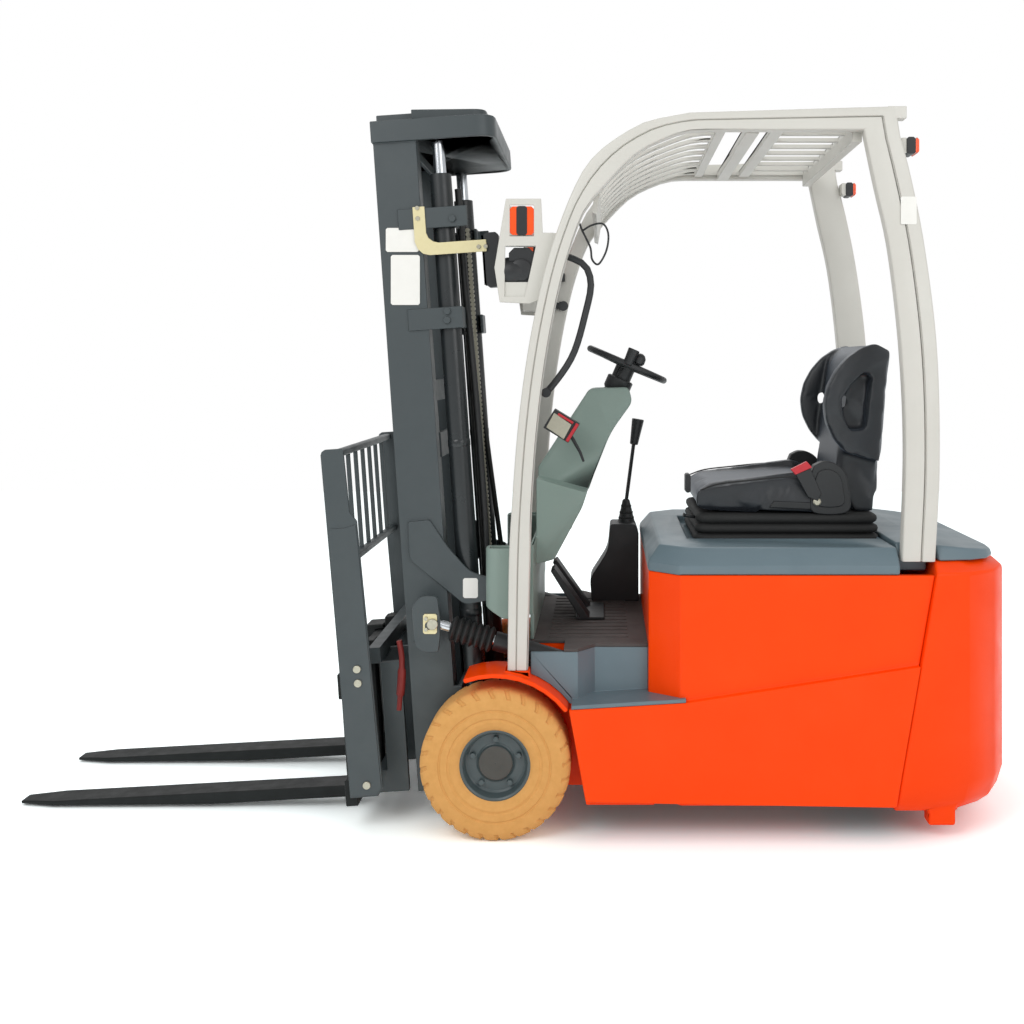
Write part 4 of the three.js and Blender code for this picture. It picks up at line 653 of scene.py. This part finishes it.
bellowsShape = {"ribs": 7, "depth": 11, "stroke": 65, "out": 392}
pivot, eye = Vector((230, 0, 505)), Vector((-209.75, 0, 633.35))
reach = (eye - pivot).normalized()
for word, side in sides:
    low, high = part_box("tilt_bellows_" + word)
    radius = (high.y - low.y) * 500
    tilted = radius * abs(reach.z)
    start = pivot + reach * ((pivot.x - ((high.x - axleX) * 1000 - tilted)) / -reach.x)
    end = pivot + reach * ((pivot.x - ((low.x - axleX) * 1000 + tilted)) / -reach.x)
    path, radii = [], []
    for k in range(bellowsShape["ribs"] * 4 + 1):
        spot = start.lerp(end, k / (bellowsShape["ribs"] * 4))
        path.append((spot.x, side * bellowsShape["out"], spot.z))
        radii.append(radius - 1 - bellowsShape["depth"] * (0, 0.35, 1, 0.35)[(k + 2) % 4])
    work = bmesh.new()
    addTube(work, path, radii, 0, 36)
    bellows = finished(work, "tilt_gaiter_" + word, "bellowsRubber", "tilt_barrel_body_" + word, 0, 2,
                       60)
    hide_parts("tilt_bellows_" + word)
    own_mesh(bellows)
print("mast dressed")


# Lamps on the guard
def sidedBar(work, side, across, out, up, finish, cut):
    near, far = sorted(side * depth for depth in out)
    roundedBar(work, (across[0], near, up[0]), (across[1], far, up[1]), finish, cut)


# A bar is its reach along x, its distances from the middle, its heights, its finish and its cut corners.
frontLamp = {
    "bars": [
        ((38, 116), (388, 456), (1834, 1922), 0, 10), ((60, 93), (386, 457.5), (1833, 1923), 1, 6),
        ((36, 114), (404, 447), (1656, 1796), 1, 16),
    ],
    "sideCap": {"x": 74, "z": 1728, "rings": [(440, 34), (452, 34), (456, 26)]},
    "headLamp": {"out": 415, "z": 1722, "rings": [(20, 44), (28, 47), (60, 47), (90, 36), (112, 22)],
                 "glass": [(14, 36), (21, 42)]},
    "hinges": {"x": 168, "out": 432, "radius": 11, "half": 16, "heights": (1770, 1662)},
}
rearLamp = [
    ((1236, 1256), (412, 470), (2084, 2130), 2, 3), ((1252, 1280), (408, 474), (2080, 2132), 1, 6),
    ((1278, 1291), (410, 472), (2082, 2130), 0, 6),
]
for word, side in sides:
    work = bmesh.new()
    for bar in frontLamp["bars"]:
        sidedBar(work, side, *bar)
    cap, head, hinge = frontLamp["sideCap"], frontLamp["headLamp"], frontLamp["hinges"]
    addTube(work, [(cap["x"], side * out, cap["z"]) for out, _ in cap["rings"]], [r for _, r in cap["rings"]], 1, 36)
    for rings, finish in ((head["rings"], 1), (head["glass"], 2)):
        addTube(work, [(x, side * head["out"], head["z"]) for x, _ in rings], [r for _, r in rings], finish, 40)
    for z in hinge["heights"]:
        addTube(work, [(hinge["x"], side * hinge["out"], z + way * hinge["half"]) for way in (-1, 1)], hinge["radius"],
                1, 20)
        sidedBar(work, side, (118, 166), (424, 440), (z - 11, z + 11), 1, 3)
    finished(work, "front_lamps_" + word, ["orangeAcrylic", "blackAbs", "lampGlass"], "chassis", 1.5,
             2, 40)
    work = bmesh.new()
    for bar in rearLamp:
        sidedBar(work, side, *bar)
    finished(work, "rear_lamp_" + word, ["orangeAcrylic", "blackAbs", "warmGreyPowderCoat"], "chassis",
             2, 2, 40)
hookWire = [
    (250, -440, 1880), (262, -425, 1850), (286, -420, 1800), (292, -420, 1762), (312, -420, 1748), (336, -420, 1790),
    (342, -420, 1840), (326, -420, 1872), (292, -425, 1868), (262, -430, 1850),
]
work = bmesh.new()
addTube(work, smoothPath(hookWire, 8), 3.2, 0, 10)
addTube(work, [(204, -449, 1617), (204, -443, 1617)], 15, 0, 24)
finished(work, "guard_hook_and_plug", "blackAbs", "chassis", 0, 2, 40)
work = bmesh.new()
roundedBar(work, (1228, -494.5, 1862), (1276, -496, 1946), 0, 3)
finished(work, "guard_label", "labelVinyl", "chassis", 0)
print("lamps fitted")


# Seat: bellows base, recliner cover, buckle, levers, seams
def roundedRing(low, high, inset, corner, z, steps=7):  # one level outline with round corners, low and high are (x, y)
    ring = []
    r = max(corner - inset, 4)
    for cx, cy, start in ((high[0], high[1], 0), (low[0], high[1], 90), (low[0], low[1], 180), (high[0], low[1], 270)):
        sx, sy = (1 if cx == high[0] else -1), (1 if cy == high[1] else -1)
        for k in range(steps + 1):
            a = math.radians(start + 90 * k / steps)
            ring.append(at(cx - sx * (inset + r) + r * math.cos(a), cy - sy * (inset + r) + r * math.sin(a), z))
    return ring


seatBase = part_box("seat_base")
baseLow = [(seatBase[0].x - axleX) * 1000, seatBase[0].y * 1000]
baseHigh = [1226, seatBase[1].y * 1000]
baseZ = [seatBase[0].z * 1000, 952]
rise = baseZ[1] - baseZ[0]
folds = [(0, 16), (0.05, 6), (0.11, 1), (0.2, 0), (0.28, 3), (0.33, 14), (0.355, 18), (0.38, 14), (0.43, 4), (0.52, 2),
         (0.6, 5), (0.65, 16), (0.675, 20), (0.7, 16), (0.75, 8), (0.83, 5), (0.92, 7), (0.98, 14), (1.0, 24)]
work = bmesh.new()
addRings(work, [roundedRing(baseLow, baseHigh, inset, 46, baseZ[0] + share * rise) for share, inset in folds])
base = finished(work, "seat_bellows", "blackRubber", "hood_and_seat", 0, 2, 70)
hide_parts("seat_base")

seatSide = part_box("seat_cushion")[0].y * 1000
work = bmesh.new()
for side, y in ((-1, seatSide), (1, -seatSide)):
    cover = [(1010, 1110), (1040, 1122), (1078, 1116), (1108, 1090), (1122, 1040), (1120, 960), (1010, 956),
             (998, 1010), (992, 1060)]
    path = smoothPath([(x, 0, z) for x, z in cover + cover[:1]], 6)[:-1]
    addPrism(work, [(p.x, p.z) for p in path], y + side * 4, y - side * 40, 0)
    inner = smoothPath([(x * 0.72 + 1056 * 0.28, 0, z * 0.72 + 1036 * 0.28) for x, z in cover + cover[:1]], 6)[:-1]
    addPrism(work, [(p.x, p.z) for p in inner], y + side * 9, y - side * 4, 0)
    addPrism(work, [(865, 972), (1000, 966), (1000, 990), (880, 994)], y + side * 2, y - side * 14, 0)
finished(work, "recliner_covers", "blackAbs", "hood_and_seat", 4, 3, 40)
work = bmesh.new()
near = seatSide - 9
addPrism(work, [(948, 1082), (996, 1101), (1032, 1020), (1020, 994), (988, 1008)], near - 5, near + 13, 0)
addPrism(work, [(932, 1098), (984, 1124), (1002, 1104), (948, 1080)], near - 6, near + 12, 1)
finished(work, "belt_buckle", ["blackAbs", "redAbs"], "hood_and_seat", 3, 3, 40)
work = bmesh.new()
addTube(work, [(1018, seatSide - 6, 992), (1018, seatSide - 10, 992), (1018, seatSide - 13, 992)], [13, 13, 9], 0, 24)
finished(work, "seat_bolt", "zincPlate", "hood_and_seat", 0)
work = bmesh.new()
addTube(work, smoothPath([(640, seatSide + 60, 934), (612, seatSide + 34, 940), (588, seatSide + 26, 946)], 5),
        [5] * 10 + [8], 0, 12)
roundedBar(work, (598, seatSide + 80, 1012), (616, seatSide + 130, 1074), 0, 5)
finished(work, "seat_levers", "blackAbs", "hood_and_seat", 1.5, 2, 40)
work = bmesh.new()
for y in (seatSide - 7, -seatSide + 7):
    addTube(work, smoothPath([(640, y, 1030), (700, y, 1050), (800, y, 1062), (900, y, 1072), (985, y, 1076)], 8), 2.4,
            0, 8)
finished(work, "cushion_piping", "blackRubber", "hood_and_seat")
print("seat trimmed")


# Driver's place: boss, spinner knob, control box, lever boot, mat ribs
work = bmesh.new()
tilt = math.radians(23.6)
along = Vector((-math.sin(tilt), 0, -math.cos(tilt)))
hub = Vector((408, 0, 1437))
addTube(work, [tuple(hub + along * d) for d in (52, 56, 92, 104, 118)], [40, 46, 46, 38, 32], 0, 40)
finished(work, "column_collar", "blackAbs", "chassis", 0, 2, 40)
work = bmesh.new()
rimSpot = hub + Vector((math.cos(tilt) * 30, -118, -math.sin(tilt) * 30))
addTube(work, [tuple(rimSpot - along * d) for d in (-6, 10, 14, 22, 38, 48, 52)], [6, 6, 17, 21, 20, 13, 4], 0, 28)
finished(work, "spinner_knob", "blackAbs", "steering", 0, 2, 60)
controlBox = {"x": 190, "z": 1237, "cos": 0.85, "sin": 0.52, "faceWide": 0.7, "faceHigh": 0.78, "faceShift": -8}


def turnedIn(corners):  # the box hangs askew on the column
    c, s = controlBox["cos"], controlBox["sin"]
    return [(controlBox["x"] + x * c + z * s, controlBox["z"] - x * s + z * c) for x, z in corners]


work = bmesh.new()
boxOutline = turnedIn([(-48, -36), (48, -36), (48, 36), (-48, 36)])
addPrism(work, boxOutline, -236, -176, 0)
face = [(controlBox["x"] + (x - controlBox["x"]) * controlBox["faceWide"] + controlBox["faceShift"],
         controlBox["z"] + (z - controlBox["z"]) * controlBox["faceHigh"]) for x, z in boxOutline]
addPrism(work, face, -240, -230, 1)
for stripe in ([(36, -34), (47, -34), (47, 34), (36, 34)], [(-30, 24), (28, 24), (28, 32), (-30, 32)]):
    addPrism(work, turnedIn(stripe), -241, -232, 2)
addTube(work, [(222, -206, 1200), (250, -206, 1150), (262, -206, 1118)], [6, 5, 4], 0, 12)
finished(work, "control_box", ["blackAbs", "zincPlate", "redAbs"], "chassis", 2, 2, 40)
leverBoot = [(0, 36), (0.1, 34), (0.2, 26), (0.3, 30), (0.4, 22), (0.5, 26), (0.62, 17), (0.74, 20), (0.88, 12),
             (1, 10)]
foot, tip = Vector((412, 317.5, 838)), Vector((411, 317.5, 934))
work = bmesh.new()
addTube(work, [tuple(foot.lerp(tip, share)) for share, _ in leverBoot], [r for _, r in leverBoot], 0, 28)
finished(work, "lever_boot_folds", "blackRubber", "chassis", 0, 2, 60)
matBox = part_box("floor_plate")
matRibs = {"count": 13, "from": -300, "pitch": 50, "half": 7, "margin": 60, "sunk": 1, "proud": 2.5}
matX = [(matBox[0].x - axleX) * 1000 + matRibs["margin"], (matBox[1].x - axleX) * 1000 - matRibs["margin"]]
matTop = matBox[1].z * 1000
work = bmesh.new()
for k in range(matRibs["count"]):
    y = matRibs["from"] + k * matRibs["pitch"]
    addBox(work, (matX[0], y - matRibs["half"], matTop - matRibs["sunk"]),
           (matX[1], y + matRibs["half"], matTop + matRibs["proud"]))
finished(work, "mat_ribs", "floorMatRubber", "chassis", 1, 2)
print("driver's place fitted")


# Load backrest: plates bolted on at both ends, a grille of thin blades between
backrestSizes = {"half": 458, "sheet": 12, "bars": 7, "low": 832, "high": 1210, "rail": 24}
endPlate = [(-456, 140), (-474, 1194), (-470, 1204), (-460, 1210), (-410, 1210), (-404, 1204), (-398, 1015),
            (-378, 985), (-354, 165), (-370, 140)]
lowerPlate = [(-452, 146), (-465, 960), (-458, 968), (-420, 966), (-380, 975), (-358, 168), (-372, 146)]
bay = backrestSizes["half"] - backrestSizes["sheet"]
work = bmesh.new()
for word, side in sides:
    addPrism(work, endPlate, side * bay, side * backrestSizes["half"])
    addPrism(work, lowerPlate, side * (backrestSizes["half"] - 1), side * (backrestSizes["half"] + 3.5))
for z in (backrestSizes["low"], backrestSizes["high"] - backrestSizes["rail"] - 6):
    roundedBar(work, (-452, -bay - 1, z), (-426, bay + 1, z + backrestSizes["rail"]), 0, 5)
for n in range(1, backrestSizes["bars"] + 1):
    y = -bay + n * 2 * bay / (backrestSizes["bars"] + 1)
    addBox(work, (-450, y - 4, backrestSizes["low"] + 1), (-436, y + 4, backrestSizes["high"] - backrestSizes["rail"]))
leanForward(work)
backrestGuard = finished(work, "backrest_guard", "slateEnamel", "side_shift", 1.5, 2)
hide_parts("load_backrest")
repeated("carriage_bolts", [at(*p) for p in [(-427, -464, 505), (-424, -464, 462), (-397, -464, 150)]], (0, -1, 0),
         {"radius": 12, "height": 7, "corners": 24, "bevel": 1.5}, "zincPlate", "side_shift")

# Lift chain: its links carried by the middle stage
links = {"radius": 8.5, "height": 15, "corners": 10, "pitch": 16, "count": 82, "bevel": 0}
for word, side in sides:
    work = bmesh.new()
    foot = [(-52, side * 236, 640 + k * links["pitch"]) for k in range(links["count"])]
    for p in foot:
        work.verts.new(at(*p))
    leanForward(work)
    repeated("lift_chain_" + word, [v.co.copy() for v in work.verts], (0, side, 0), links, "zincPlate", "middle_stage")
    work.free()

# Hose on the lift carriage, with a sleeve round its middle
sleevedRadii = [9] * 8 + [13] * 12 + [9] * 13
work = bmesh.new()
addTube(work,
        smoothPath([(-322, -326, 340), (-318, -327, 390), (-314, -328, 440), (-314, -327, 510), (-322, -326, 560)], 8),
        sleevedRadii, 0, 14)
finished(work, "shift_hose", "redHose", "carriage")


# Floor, backdrop and lamps
studio = {"floor": 9.0, "world": 0.76, "lift": 1.5, "glow": 0.04}


# White to the lens and in reflections, a touch less red there, with a soft grey shadow painted under the truck and
# tinted cyan, both to cancel the orange light the truck throws on the floor; plain pale to everything else.
def studioWhite(name):
    material = bpy.data.materials.new(name)
    material.use_nodes = True
    tree = material.node_tree
    tree.nodes.clear()
    path = addNode(tree, "ShaderNodeLightPath")
    seen = addNode(tree, "ShaderNodeMath", {"operation": "MAXIMUM"},
                   {0: path.outputs["Is Camera Ray"], 1: path.outputs["Is Glossy Ray"]})
    seenToo = addNode(tree, "ShaderNodeMath", {"operation": "MAXIMUM"},
                      {0: seen.outputs[0], 1: path.outputs["Is Transmission Ray"]})
    plain = addNode(tree, "ShaderNodeBsdfDiffuse", {"Color": linear("#F4F4F4")})
    # Painted shadow's mask: full under the truck's middle, fading out towards its sides, the front axle and the tail.
    spot = addNode(tree, "ShaderNodeSeparateXYZ", None, {0: addNode(tree, "ShaderNodeTexCoord").outputs["Object"]})
    across = addNode(tree, "ShaderNodeMath", {"operation": "ABSOLUTE"}, {0: spot.outputs["Y"]})
    paintedShadowFades = [addNode(tree, "ShaderNodeMapRange", {"interpolation_type": "SMOOTHSTEP", "From Min": a, "From Max": b},
                     {"Value": place})
             for a, b, place in ((0.64, 0.30, across.outputs[0]), (axleX + 0.04, axleX + 0.34, spot.outputs["X"]),
                                 (axleX + 1.5, axleX + 1.16, spot.outputs["X"]))]
    shade = addNode(tree, "ShaderNodeMath", {"operation": "MULTIPLY"}, {0: paintedShadowFades[0].outputs[0], 1: paintedShadowFades[1].outputs[0]})
    paintedShadowMask = addNode(tree, "ShaderNodeMath", {"operation": "MULTIPLY"}, {0: shade.outputs[0], 1: paintedShadowFades[2].outputs[0]})
    # To the lens the floor is lifted white with the red a touch lower; where the mask is full it turns to the painted
    # shadow colour, tinted cyan so that the truck's orange bounce on it reads grey.
    floorAndPaintedShadow = addNode(tree, "ShaderNodeMix",
                   {"data_type": "RGBA", 6: (studio["lift"] * 0.94, studio["lift"], studio["lift"], 1),
                                           7: (0.32, 0.69, 0.73, 1)}, {0: paintedShadowMask.outputs[0]})
    bright = addNode(tree, "ShaderNodeBsdfDiffuse", None, {"Color": floorAndPaintedShadow.outputs[2]})
    glowing = addNode(tree, "ShaderNodeEmission", {"Color": (1, 1, 1, 1), "Strength": studio["glow"]})
    both = addNode(tree, "ShaderNodeAddShader", None, {0: bright.outputs[0], 1: glowing.outputs[0]})
    mixed = addNode(tree, "ShaderNodeMixShader", None, {0: seenToo.outputs[0], 1: plain.outputs[0], 2: both.outputs[0]})
    addNode(tree, "ShaderNodeOutputMaterial", None, {"Surface": mixed.outputs[0]})
    return material


floorMesh = bpy.data.meshes.new("floor")
half = studio["floor"]
floorDrop = -0.0005  # just under the wheels, so that nothing lies in one plane
floorMesh.from_pydata([(x, y, floorDrop) for x, y in ((-half, -half), (half, -half), (half, half), (-half, half))], [],
                      [(0, 1, 2, 3)])
floor = bpy.data.objects.new("floor", floorMesh)
floorMesh.materials.append(studioWhite("studioFloor"))
scene.collection.objects.link(floor)

world = bpy.data.worlds.new("studio")
scene.world = world
world.use_nodes = True
worldTree = world.node_tree
worldTree.nodes.clear()
lightPath = addNode(worldTree, "ShaderNodeLightPath")
seenDirect = addNode(worldTree, "ShaderNodeMath", {"operation": "MAXIMUM"},
                     {0: lightPath.outputs["Is Camera Ray"], 1: lightPath.outputs["Is Transmission Ray"]})
strength = addNode(worldTree, "ShaderNodeMapRange", {"To Min": studio["world"], "To Max": 1.0},
                   {"Value": seenDirect.outputs[0]})
sky = addNode(worldTree, "ShaderNodeBackground", {"Color": (1, 1, 1, 1)}, {"Strength": strength.outputs[0]})
addNode(worldTree, "ShaderNodeOutputWorld", None, {"Surface": sky.outputs[0]})

lamps = {
    "key": {"spot": (-2.4, -4.2, 4.2), "size": 3.0, "power": 84},
    "fill": {"spot": (3.2, -4.0, 2.6), "size": 3.0, "power": 44},
    "rim": {"spot": (0.5, 3.6, 4.4), "size": 3.0, "power": 40},
}
for name, lamp in lamps.items():
    light = bpy.data.lights.new(name, "AREA")
    light.shape = "DISK"
    light.size = lamp["size"]
    light.energy = lamp["power"]
    source = bpy.data.objects.new(name, light)
    source.location = lamp["spot"]
    source.rotation_euler = (Vector((0.2, 0, 0.9)) - Vector(lamp["spot"])).to_track_quat("-Z", "Y").to_euler()
    scene.collection.objects.link(source)
scene.view_settings.view_transform = "Standard"
print("studio lit")
